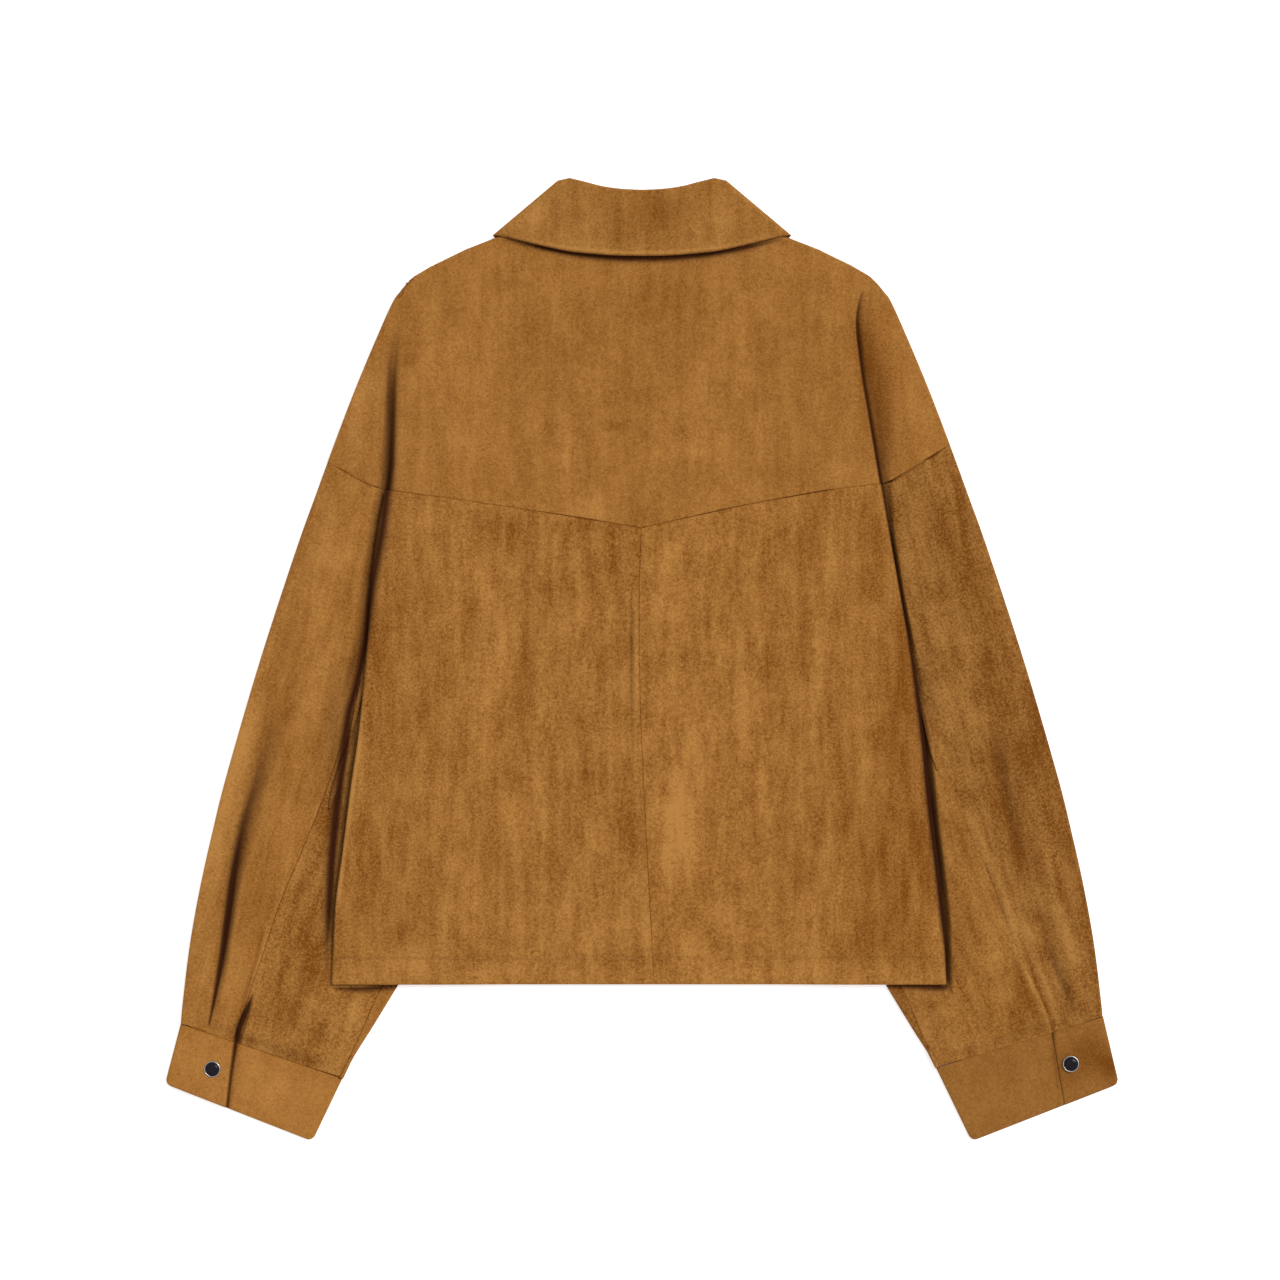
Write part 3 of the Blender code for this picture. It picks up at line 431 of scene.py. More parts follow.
def layColumns(guides, spans):
    columns, drops = [], []
    for guide, following, span in zip(guides, guides[1:], spans):
        if span == "rollIn":
            stops, low = roundStops, roundDrops
        elif span == "rollOut":
            stops = np.concatenate([[0], 1 - roundStops[:0:-1]])
            low = np.concatenate([[0], roundDrops[:0:-1]])
        else:
            stops, low = np.arange(span) / span, np.zeros(span)
        columns += [guide + (following - guide) * stop for stop in stops]
        drops += list(low)
    return np.array(columns + [guides[-1]]), np.array(drops + [1.0 if spans[-1] == "rollOut" else 0.0])


def rowsAlong(guides, count, top=None, bottom=None, gather=1.0):
    # Rows at the same steps down every guide, closer at its top where gather is over 1;
    # top and bottom are the width and the drop of an edge that sinks
    laid = []
    for guide in guides:
        total = lengthsOf(np.array(guide, float))[-1]
        start, end = top[0] if top else 0.0, total - (bottom[0] if bottom else 0.0)
        places = list(start * roundStops) if top else []
        places += list(start + (end - start) * np.linspace(0, 1, count) ** gather)
        places += list(total - bottom[0] * roundStops[::-1]) if bottom else []
        laid.append(pointsAt(guide, places))
    low = [roundDrops * top[1]] if top else []
    low.append(np.zeros(count))
    if bottom:
        low.append(roundDrops[::-1] * bottom[1])
    return laid, np.concatenate(low)


def withSeam(points, dark=0.0):
    points = np.array(points, float)
    if points.shape[-1] == 4:
        return points
    return np.dstack([points, np.broadcast_to(dark, points.shape[:2])])


clothPieces = []


def cloth(name, points, replaces, napAndPaintedLight=(), dark=(), flip=False):
    # points[column][row] are x, y, z in millimetres and how dark a seam is there. The outside faces up
    # where the columns run to the right, and flip turns it over. The nap strokes are lighter or darker
    # brushed pile, some of them painted highlights on ridges and painted shade in folds, and dark holds
    # the painted shadows that run over the piece
    points = withSeam(points)
    across, down = points.shape[0] - 1, points.shape[1] - 1
    shape = bmesh.new()
    bmesh.ops.create_grid(shape, x_segments=across, y_segments=down, size=1)
    seams = []
    for vert in shape.verts:
        column = round((vert.co.x + 1) / 2 * across)
        row = round((1 - vert.co.y) / 2 * down)
        vert.co = Vector(points[column][row][:3]) * mm
        seams.append(points[column][row][3])
    if flip:
        bmesh.ops.reverse_faces(shape, faces=shape.faces)
    mesh = meshOf(name, shape)
    mesh.shade_smooth()
    x, y = np.array([vert.co[:2] for vert in mesh.vertices]).T / mm
    mesh.attributes.new("napAndPaintedLight", "FLOAT", "POINT").data.foreach_set("value", strokes(napAndPaintedLight, x, y))
    mesh.attributes.new("seam", "FLOAT", "POINT").data.foreach_set("value", seams)
    mesh.attributes.new("paintedShade", "FLOAT", "POINT").data.foreach_set("value", paintedShadowsAt(dark, x, y))
    piece = placed(name, mesh)
    wall = piece.modifiers.new("thickness", "SOLIDIFY")
    wall.thickness = body["cloth"] * mm
    wall.offset = -1
    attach(piece, "root")
    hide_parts(replaces)
    clothPieces.append((piece, points))
    return piece


def lay(columns, height, low, dark=0.0):  # flat columns at their height, less what the rolled edges sink
    flat = columns.reshape(-1, 2)
    z = height(flat[:, 0], flat[:, 1]).reshape(columns.shape[:2]) - low
    return withSeam(np.dstack([columns, z]), dark)


# Shader nodes: sums written as plain expressions, also with the number first, and their paint

class Wire:
    def __init__(self, paint, socket):
        self.paint, self.socket = paint, socket

    def sum(self, operation, *values):
        return self.paint.add("Math", {"operation": operation}, dict(enumerate(values)))

    def __add__(self, other):
        return self.sum("ADD", self, other)

    def __radd__(self, other):
        return self.sum("ADD", other, self)

    def __sub__(self, other):
        return self.sum("SUBTRACT", self, other)

    def __rsub__(self, other):
        return self.sum("SUBTRACT", other, self)

    def __mul__(self, other):
        return self.sum("MULTIPLY", self, other)

    def __rmul__(self, other):
        return self.sum("MULTIPLY", other, self)

    def clamped(self):
        return self.sum("MAXIMUM", self.sum("MINIMUM", self, 1.0), 0.0)


class Paint:
    def __init__(self, name, **constants):
        self.material = bpy.data.materials.new(name)
        self.material.use_nodes = True
        self.tree = self.material.node_tree
        self.shader = self.tree.nodes["Principled BSDF"]
        for socket, value in constants.items():
            self.shader.inputs[socket].default_value = value

    def add(self, kind, settings=None, sockets=None, output=0):
        node = self.tree.nodes.new("ShaderNode" + kind)
        for key, value in (settings or {}).items():
            setattr(node, key, value)
        for key, value in (sockets or {}).items():
            self.feed(node.inputs[key], value)
        return Wire(self, node.outputs[output])

    def feed(self, socket, value):
        if isinstance(value, Wire):
            self.tree.links.new(value.socket, socket)
        else:
            socket.default_value = value

    def colours(self, mask, first, second):
        return self.add("Mix", {"data_type": "RGBA"}, {0: mask, 6: first, 7: second}, 2)


suede = {
    # The last colour is the painted shade, mixed in at creases, crevices and under raised edges
    "dark": (0.175, 0.0525, 0.0028), "light": (0.442, 0.2030, 0.0490), "paintedShade": (0.030, 0.0050, 0.0003, 1),
    "streakSize": 110, "streakLength": 0.16, "blotchSize": 42, "feltSize": 470, "grainSize": 900,
    # How much the streaks, blotches, felt and grain count in the colour and in the relief
    "mottle": (1.05, 0.65, 1.5, 0.85), "pile": (0.4, 0.6, 0.4), "bump": (0.5, 0.0009),
    "napped": (1.5, 0.9, 0.2), "deepest": 0.96,            # how strokes of nap break up, how strong the painted shade gets
    "finish": {"Roughness": 0.9, "Sheen Weight": 0.04, "Sheen Roughness": 0.5,
               "Sheen Tint": (0.95, 0.62, 0.32, 1), "Specular IOR Level": 0.10},
}


def suedeCloth(name, tint=1.0, turn=0.0, shift=0.0, contrast=1.0, streaks=1.0):
    # tint brightens or darkens the whole piece, turn leans its nap and shift moves it to a fresh place
    paint = Paint(name, **suede["finish"])
    place = paint.add("TexCoord", output=3)
    napped = paint.add("Mapping", None, {"Vector": place, "Location": (shift, shift * 0.7, 0),
                                         "Rotation": (0, 0, math.radians(turn))})
    long = paint.add("VectorMath", {"operation": "MULTIPLY"}, {0: napped, 1: (1, suede["streakLength"], 1)})
    streak = paint.add("TexNoise", None, {"Vector": long, "Scale": suede["streakSize"], "Detail": 3.0,
                                          "Roughness": 0.62})
    blotch = paint.add("TexNoise", None, {"Vector": napped, "Scale": suede["blotchSize"], "Detail": 3.0,
                                          "Roughness": 0.6})
    felt = paint.add("TexNoise", None, {"Vector": napped, "Scale": suede["feltSize"], "Detail": 3.0,
                                        "Roughness": 0.75})
    grain = paint.add("TexNoise", None, {"Vector": napped, "Scale": suede["grainSize"], "Detail": 1.0})
    ofStreak, ofBlotch, ofFelt, ofGrain = suede["mottle"]
    mottle = ((streak - 0.5) * (ofStreak * streaks) + (blotch - 0.5) * ofBlotch + (felt - 0.5) * ofFelt
              + (grain - 0.5) * ofGrain)
    napAndPaintedLight = paint.add("Attribute", {"attribute_name": "napAndPaintedLight"}, output=2)
    paintedShade = paint.add("Attribute", {"attribute_name": "paintedShade"}, output=2)
    seam = paint.add("Attribute", {"attribute_name": "seam"}, output=2)
    byBlotch, byFelt, less = suede["napped"]
    level = mottle * contrast + napAndPaintedLight * (blotch * byBlotch + felt * byFelt - less) + 0.5 - seam
    dark = tuple(value * tint for value in suede["dark"]) + (1,)
    light = tuple(value * tint for value in suede["light"]) + (1,)
    colour = paint.colours(level.clamped(), dark, light)
    # Painted shade: the colour darkens toward a deep brown where the piece lies in shadow
    shaded = paint.colours(paintedShade * suede["deepest"], colour, suede["paintedShade"])
    paint.feed(paint.shader.inputs["Base Color"], shaded)
    ofStreak, ofFelt, ofGrain = suede["pile"]
    pile = felt * ofFelt + grain * ofGrain + streak * ofStreak
    strength, distance = suede["bump"]
    relief = paint.add("Bump", None, {"Strength": strength, "Distance": distance, "Height": pile})
    paint.feed(paint.shader.inputs["Normal"], relief)
    return paint.material


def finish(piece, material):
    piece.data.materials.clear()
    piece.data.materials.append(material)


materials = {
    "yoke": suedeCloth("suedeYoke", 1.03, shift=0.3, contrast=0.78, streaks=0.8),
    "backLeft": suedeCloth("suedeBackLeft", 1.0, shift=1.1, contrast=1.08),
    "backRight": suedeCloth("suedeBackRight", 1.03, shift=2.3, contrast=1.06),
    "front": suedeCloth("suedeFronts", 0.98, shift=3.1, contrast=0.95),
    "sleeveLeft": suedeCloth("suedeSleeveLeft", 1.04, turn=14, shift=4.7, contrast=0.85),
    "sleeveRight": suedeCloth("suedeSleeveRight", 0.86, turn=-14, shift=5.9, contrast=1.3),
    "underLeft": suedeCloth("suedeUnderLeft", 0.96, turn=18, shift=6.3, contrast=1.28),
    "underRight": suedeCloth("suedeUnderRight", 0.97, turn=-18, shift=7.7, contrast=1.05),
    "cuffLeft": suedeCloth("suedeCuffLeft", 1.10, turn=18, shift=8.1, contrast=0.65, streaks=0.4),
    "cuffRight": suedeCloth("suedeCuffRight", 0.90, turn=-18, shift=9.4, contrast=0.65, streaks=0.4),
    "collar": suedeCloth("suedeCollar", 0.97, shift=10.2, contrast=0.85),
    "stand": suedeCloth("suedeStand", 0.95, shift=11.5),
    "thread": suedeCloth("thread", 1.32, shift=13.0, contrast=0.5),
}
print("suede ready")


# Back yoke, one piece over the back, the shoulders and the upper arms

yoke = {
    "shoulderRoll": 1.7, "rows": 124, "gather": 1.3, "seam": (1.0, 0.4), "seamDark": 0.75,
    "columns": ["rollIn", 14, 16, 10, 20, 12, 12, 10, 12, 16],
    # Where the guides near the crease start on the shoulder, and how many points they leave out there
    "edgeUp": 282.3, "rimUp": 286.5, "outUp": 291.5, "insideUp": 4, "rimSkip": 3, "creaseSkip": 5,
    "mouth": 1.2, "widening": (18, 75), "inside": 4.0,     # the crease's width at first, and where it widens
    # Guides further in: height or place of their top, and across at the seam
    "shoulder": [(312, 140), (320.4, 112)],
    "neck": [((81.0, 333.8), 84), ((62.0, 327.6), 62), ((35.0, 321.4), 38)],
    "nape": (0.0, 318.8), "napeFoot": 0.8,
    "napAndPaintedLight": [(0.20, 7, [(-59, 190), (-58, 130)]), (0.2, 9, [(-60, 116), (-22, 110)]),
            (0.18, 8, [(64, 126), (92, 129)]), (0.14, 14, [(35, 180), (55, 225), (80, 258)]),
            (-0.14, 26, [(5, 285), (38, 255)]), (-0.14, 11, [(24, 240), (32, 205)]),
            (-0.16, 9, [(-182, 243), (-158, 238)]), (-0.10, 14, [(-8, 240), (-8, 185)]),
            (0.10, 20, [(-131, 250), (-133, 200)]), (0.16, 12, [(135, 139), (172, 143)]),
            (0.12, 8, [(-165, 265), (-163, 215)]), (0.10, 5, [(62, 180), (61, 142)]),
            (-0.10, 20, [(-90, 250), (-70, 200)]), (-0.08, 16, [(105, 260), (110, 200)]),
            (0.22, 15, [(-205, 230), (-222, 150)]), (-0.14, 9, [(186, 250), (196, 190)]),
            (0.12, 12, [(-120, 150), (-150, 180)]),
            # Painted shade on the right arm cap beside its shoulder crease
            (-0.38, 9, [(168, 270), (170, 240), (177, 200), (185, 156)]),
            (-0.35, 7, [(-177, 234), (-176, 220)]), (-0.25, 10, [(-20, 182), (-21, 172)]),
            (0.18, 14, [(36, 170), (34, 150)])],
}


def yokeSide(side):
    sign = side["sign"]
    crease = smoothCurve(side["crease"])
    flat, slope = valleyAt(side, crease[:, 1])
    reach = flat + slope
    seam = body["seam"]

    def lower(across):
        return across, float(seamY(sign * across)) + seam

    def onShoulder(up):
        return float(acrossAt(outlineCurve, up)), up

    roll, skip, inset = yoke["shoulderRoll"], yoke["creaseSkip"], yoke["inside"]
    edge = stretch(outlineCurve, yoke["edgeUp"], side["armSeamUp"] + seam)
    rim = [onShoulder(yoke["rimUp"])] + list(beside(edge, -roll))[yoke["rimSkip"]:-1]
    rim.append(lower(edge[-1][0] - roll))
    foot = lower(crease[-1][0])
    mouth = yoke["mouth"]
    widths = mouth + (reach - mouth) * ease(crease[0][1] - crease[:, 1], *yoke["widening"])
    out = [onShoulder(yoke["outUp"])] + list(beside(crease, widths))[skip:-1]
    out.append(lower(foot[0] + reach[-1]))
    middle = list(crease[:-1]) + [foot]
    inside = [onShoulder(crease[0][1] + yoke["insideUp"])] + list(beside(crease, -inset))[skip:-1]
    inside.append(lower(foot[0] - inset))
    guides = [edge, rim, out, middle, inside]
    guides += [[onShoulder(up), lower(across)] for up, across in yoke["shoulder"]]
    guides += [[top, lower(across)] for top, across in yoke["neck"]]
    guides.append([yoke["nape"], lower(-sign * yoke["napeFoot"])])
    laid, low = rowsAlong(guides, yoke["rows"], (roll, roll), yoke["seam"], gather=yoke["gather"])
    columns, sideLow = layColumns(laid, yoke["columns"])
    drops = np.maximum(sideLow[:, None] * roll, low[None, :])
    dark = np.where(np.arange(len(low)) > len(low) / 2, low, 0) / yoke["seam"][1] * yoke["seamDark"]
    return lay(columns, lambda across, up: yokeHeight(side, across, up), drops, dark[None, :])


def makeYoke():
    left, right = yokeSide(sides["left"]), yokeSide(sides["right"])
    left[..., 0] *= -1
    piece = cloth("back_yoke_cloth", np.concatenate([left, right[-2::-1]]), "back_yoke", napAndPaintedLight=yoke["napAndPaintedLight"],
                  dark=paintedShadows["yoke"])
    finish(piece, materials["yoke"])


makeYoke()
print("yoke laid")


# Lower back panels, with a rolled side edge and a turned hem

back = {
    "sideRoll": 2.0, "seam": (1.0, 0.4), "seamDark": 0.62, "hemRadius": 1.5, "hemDepth": 21.0, "rows": 180,
    "stitchUp": -227.0, "stitchDip": (0.5, 1.3),           # how deep and how wide the stitching pulls in
    "between": [(150, 158), (85, 90)], "nearCentre": 14,   # inner guides: across at the top and at the hem
    "columns": ["rollIn", 28, 30, 32, 14, "rollOut"],
    "creases": [
        (1.0, 1.6, [(-7.6, 62), (-8.0, 10), (-7.0, -70)]), (0.6, 4, [(-20, 15), (-15, -40), (-10, -90)]),
        (-0.9, 9, [(-103, 34), (-117, -6), (-126, -48)]), (0.9, 8, [(-84, 36), (-89, -11), (-96, -62)]),
        (0.7, 8, [(-127, 42), (-133, 8), (-140, -18)]),
        (0.7, 9, [(-104, -130), (-113, -165), (-124, -205)]),
        (-0.6, 8, [(-128, -150), (-134, -185), (-141, -212)]),
        (0.5, 8, [(-60, -110), (-67, -140), (-72, -175)]), (0.5, 8, [(52, -118), (52, -145), (56, -170)]),
        (-0.6, 10, [(36, -90), (36, -130), (38, -175)]), (0.5, 10, [(152, -60), (155, -120), (158, -190)]),
        (0.5, 3, [(127, 102), (127, 80)]),
    ],
    "napAndPaintedLight": {
        "left": [
            (0.12, 8, [(-180, 50), (-181, -45)]), (-0.16, 9, [(-128, 45), (-134, -5)]),
            (0.20, 9, [(-106, 40), (-117, -5), (-125, -50)]), (-0.20, 9, [(-86, 32), (-90, -50)]),
            (-0.12, 14, [(-198, 60), (-203, -30)]), (0.12, 7, [(-78, -85), (-77, -150)]),
            (-0.16, 12, [(-107, -130), (-118, -195)]), (0.15, 9, [(-130, -155), (-138, -212)]),
            (0.18, 12, [(-52, -190), (-38, -212)]), (-0.10, 10, [(-67, -112), (-67, -168)]),
            (-0.12, 22, [(-200, -130), (-205, -200)]), (0.15, 12, [(-200, -228), (-160, -229)]),
            (-0.15, 10, [(-13, -94), (-13, -154)]), (0.15, 7, [(-8, -160), (-7, -206)]),
            (0.14, 9, [(-232, -240), (-5, -239)]), (0.08, 60, [(-120, 60), (-120, -200)]),
            # The first stroke below is a painted highlight on the strip between the centre crease and the
            # seam
            (0.16, 1.5, [(-5, 45), (-4.5, -90)]), (-0.15, 26, [(-175, 10), (-160, -60), (-150, -95)]),
            (0.12, 22, [(-60, -150), (-32, -228)]), (-0.25, 14, [(-186, -198), (-178, -214)]),
            (-0.22, 8, [(-123, -222), (-124, -238)]), (-0.20, 10, [(-181, 80), (-180, 5)]),
            (-0.22, 9, [(-94, -22), (-92, -48)]), (-0.28, 7, [(-66, 108), (-66, 94)]),
            (0.28, 8, [(-82, -210), (-80, -232)]), (-0.12, 16, [(-135, 104), (-80, 98)]),
            (-0.14, 12, [(-40, 92), (-12, 60)]),
            # Painted highlight: a light rim along the left body edge
            (0.80, 1.5, [(-211.3, -30), (-214.4, -58), (-221.2, -106.8), (-226.0, -144.8), (-231.8, -190)]),
        ],
        "right": [
            (0.14, 9, [(5, -239), (228, -240)]), (0.38, 16, [(27, -75), (28, -150)]),
            (0.15, 7, [(36, -130), (35, -172)]), (0.12, 13, [(22, 106), (22, 64)]),
            (-0.12, 12, [(50, -118), (53, -164)]), (-0.10, 16, [(80, -140), (77, -184)]),
            (0.1, 8, [(68, -164), (68, -203)]), (-0.14, 6, [(127, 110), (127, 72)]),
            (-0.12, 11, [(152, -80), (156, -182)]), (0.1, 12, [(149, 30), (149, -30)]),
            (0.08, 14, [(80, 15), (77, -100)]), (-0.26, 12, [(195, -150), (198, -215)]),
            (-0.07, 30, [(58, 45), (56, -25)]), (0.15, 22, [(28, 70), (28, -70)]),
            (-0.16, 18, [(112, 105), (120, 50)]), (-0.16, 20, [(180, -80), (182, -220)]),
            (0.10, 22, [(40, -150), (52, -232)]), (-0.12, 16, [(190, 5), (196, -80)]),
            (-0.24, 12, [(176, 112), (184, 70)]), (-0.30, 8, [(193, 30), (203, -60)]),
            (-0.40, 8, [(209, -120), (217, -180)]), (-0.35, 9, [(196, -60), (200, -100)]),
            (-0.25, 14, [(172, 75), (176, 40)]), (-0.30, 8, [(196, -212), (197, -232)]),
            (0.18, 8, [(74, -140), (73, -168)]), (-0.22, 14, [(124, -150), (132, -172)]),
            (0.16, 12, [(58, 12), (58, -12)]), (-0.1, 14, [(200, 40), (208, -60)]),
            (0.12, 14, [(110, -206), (140, -232)]), (-0.12, 12, [(172, -190), (176, -226)]),
        ],
    },
}


def turnHem(points, radius, depth, sunk, turns=9, rows=8, least=0.02):
    # Roll the last row under and lay it back inside; sunk is what a rolled side edge has already dropped
    angles = np.radians(np.linspace(90, -90, turns))[1:]
    last, before = points[:, -1], points[:, -3]
    down = last[:, :2] - before[:, :2]
    down /= np.linalg.norm(down, axis=1)[:, None]
    radius = np.maximum(radius - sunk / 2, least)
    centre, middle = last[:, :2], last[:, 2] - radius
    none = np.zeros(len(radius))
    added = []
    for angle in angles:
        out = centre + down * (radius * math.cos(angle))[:, None]
        added.append(np.column_stack([out, middle + radius * math.sin(angle), none]))
    for step in np.linspace(0, depth, rows)[1:]:
        added.append(np.column_stack([centre - down * step, middle - radius, none]))
    return np.concatenate([points, np.stack(added, axis=1)], axis=1)


def backPanelHeight(x, y):
    level = backHeight(x, y) - strokes(back["creases"], x, y)
    deep, wide = back["stitchDip"]
    return level - deep * np.exp(-((y - back["stitchUp"]) / wide) ** 2)


def makeBack():
    for name, side in sides.items():
        sign = side["sign"]
        seam = body["seam"]
        bottom, hair = body["hem"] + back["hemRadius"], 0.01
        centre = [(sign * x + seam, y) for x, y in smoothCurve(centreSeam)]
        start = (centre[0][0], centre[0][1] - 2 * seam)
        centre = [start] + stretch(centre, centre[1][1] + hair, bottom)[1:]
        edge = stretch(side["bodyCurve"], side["bodyCurve"][1][1] + hair, bottom)
        edge = [(side["bodyCurve"][0][0], float(seamY(sign * side["bodyCurve"][0][0])) - seam)] + edge[1:]
        rim = [(across - back["sideRoll"], up) for across, up in edge]
        rim[0] = (rim[0][0], float(seamY(sign * rim[0][0])) - seam)

        def downFrom(top, foot):
            return [(top, float(seamY(sign * top)) - seam), (foot, bottom)]

        centreRim = [(across + back["seam"][0], up) for across, up in centre]
        centreNear = [(across + back["nearCentre"], up) for across, up in centre]
        centreNear[0] = (centreNear[0][0], float(seamY(sign * centreNear[0][0])) - seam)
        between = [downFrom(*ends) for ends in back["between"]]
        guides = [edge, rim] + between + [centreNear, centreRim, centre]
        drop = back["seam"][1]
        laid, low = rowsAlong(guides, back["rows"], back["seam"])
        columns, sideLow = layColumns(laid, back["columns"])
        atCentre = np.arange(len(sideLow)) > len(sideLow) / 2
        drops = np.maximum((sideLow * np.where(atCentre, drop, back["sideRoll"]))[:, None], low[None, :])
        dark = np.maximum((sideLow * atCentre)[:, None], low[None, :] / drop) * back["seamDark"]
        points = lay(columns, lambda across, up: backPanelHeight(sign * across, up), drops, dark)
        points = turnHem(points, back["hemRadius"], back["hemDepth"], drops[:, -1])
        points[..., 0] *= sign
        points = points if sign < 0 else points[::-1]
        piece = cloth(f"back_panel_{name}_cloth", points, f"back_panel_{name}", napAndPaintedLight=back["napAndPaintedLight"][name],
                      dark=paintedShadows["back"])
        finish(piece, materials["back" + name.capitalize()])


makeBack()
print("back panels laid")


# Fronts, hidden under the back; as the jacket lies, the left one is on top of the right one

fronts = {
    "overlap": 15.0, "lapRun": (1, 12), "rows": 60, "columns": [3, 3, 4, 6, 5, 4, 3, 3, 3, 3, 5, 4],
    "onSleeve": (-26, -2.5), "onSleeveDown": (-15, 22), "onCollar": (12, 36),      # where a front rises
    "tip": (3.0, 0.4), "armholeIn": 2.4, "armpitIn": 1.0,  # how far inside the arm seam and the armhole
    "sideIn": [(-30, 5.0), (-60, 2.0), (-90, 2.0)], "lowerFrom": -91, "lowerIn": 2.0,
    "foldFrom": -40, "foldIn": (2.4, 28),                  # guides beside a sleeve's inner fold
    # Guides from the side inwards: their first points, and how far inside the armpit they pass
    "outer": [([(213.5, 213), (193, 90)], 9), ([(188, 273), (182, 90)], 20),
              ([(167.5, 294.1), (163, 90)], 42)],
    "sideFoot": [(204, -54), (201, -99), (196, -145), (197, -183), (202, -217)], "sideHem": 211,
    # Then those over the chest: first point, across at the chest and at the hem
    "chestUp": 7,
    "inner": [((134, 310.9), 125, 112), ((104, 318.0), 100, 88), ((80.6, 333.0), 78, 68),
              ((76.3, 314.0), 66, 56), ((68.2, 292.8), 54, 46), ((52.8, 274.4), 42, 37)],
    "lapTops": [(12, 258.9), (1, 256.5)], "edgeUp": 255.4,
}
collarLeaf = [(106.0, 316.0), (101.5, 290.0), (92.0, 264.0), (80.0, 243.0), (66.0, 226.0),
              (22.0, 294.0), (34.0, 305.0), (43.0, 320.0), (51.0, 339.0), (57.0, 358.0)]


def enclosed(loop, x, y):
    inside = np.zeros(len(x), bool)
    for (x1, y1), (x2, y2) in zip(loop, loop[1:] + loop[:1]):
        if y1 != y2:
            inside ^= ((y1 > y) != (y2 > y)) & (x < x1 + (x2 - x1) * (y - y1) / (y2 - y1))
    return inside


def frontHeight(side, across, up, lapped):
    outward = np.abs(across)
    overSleeve = ease(outward - acrossAt(side["innerFold"], up), *fronts["onSleeve"])
    overSleeve = overSleeve * ease(-up, *fronts["onSleeveDown"])
    apart, _ = distanceTo(collarLeaf + collarLeaf[:1], outward, up)
    overCollar = 1 - ease(np.where(enclosed(collarLeaf, outward, up), 0, apart), *fronts["onCollar"])
    level = np.maximum(body["frontOnSleeve"] * overSleeve, body["layer"] * overCollar)
    if lapped:
        start, end = [fronts["overlap"] + beyond for beyond in fronts["lapRun"]]
        level = level + body["layer"] * (1 - ease(across, start, end))
    return level


def makeFronts():
    lap = fronts["overlap"]
    bottom = body["hem"]
    for name, side in sides.items():
        armpit, edgeCurve = side["armhole"][-1], side["bodyCurve"]
        tipIn, tipUp = fronts["tip"][0], side["armSeamUp"] + fronts["tip"][1]
        sideLine = [(float(acrossAt(outlineCurve, tipUp)) - tipIn, tipUp)]
        sideLine += [(across - fronts["armholeIn"], up) for across, up in side["armhole"][:-1]]
        sideLine += [(armpit[0] - fronts["armpitIn"], armpit[1])]
        sideLine += [(float(acrossAt(edgeCurve, up)) - inset, up) for up, inset in fronts["sideIn"]]
        lower = [(across, up) for across, up in side["bodyEdge"] if up < fronts["lowerFrom"]]
        sideLine += [(across - fronts["lowerIn"], up) for across, up in lower]
        fold = stretch(side["innerFold"], fronts["foldFrom"], bottom)
        feet = [fronts["sideFoot"] + [(fronts["sideHem"], bottom)]]
        feet += [[(across - inset, up) for across, up in fold] for inset in fronts["foldIn"]]
        chestUp = fronts["chestUp"]
        guides = [sideLine]
        for (top, inset), foot in zip(fronts["outer"], feet):
            guides.append(top + [(armpit[0] - inset, chestUp)] + foot)
        guides += [[top, (chest, chestUp), (low, bottom)] for top, chest, low in fronts["inner"]]
        guides += [[(lap + beyond, up), (lap + beyond, bottom)] for beyond, up in fronts["lapTops"]]
        guides.append([(-lap, fronts["edgeUp"]), (-lap, bottom)])
        laid, low = rowsAlong(guides, fronts["rows"])
        columns, _ = layColumns(laid, fronts["columns"])
        lapped = name == "left"
        points = lay(columns, lambda across, up: frontHeight(side, across, up, lapped), low[None, :])
        points[..., 0] *= side["sign"]
        piece = cloth(f"front_panel_{name}_cloth", points, f"front_panel_{name}", flip=side["sign"] < 0)
        finish(piece, materials["front"])


makeFronts()
print("fronts laid")


# Sleeves: the upper piece goes round both folds, the under piece lies between the two seams

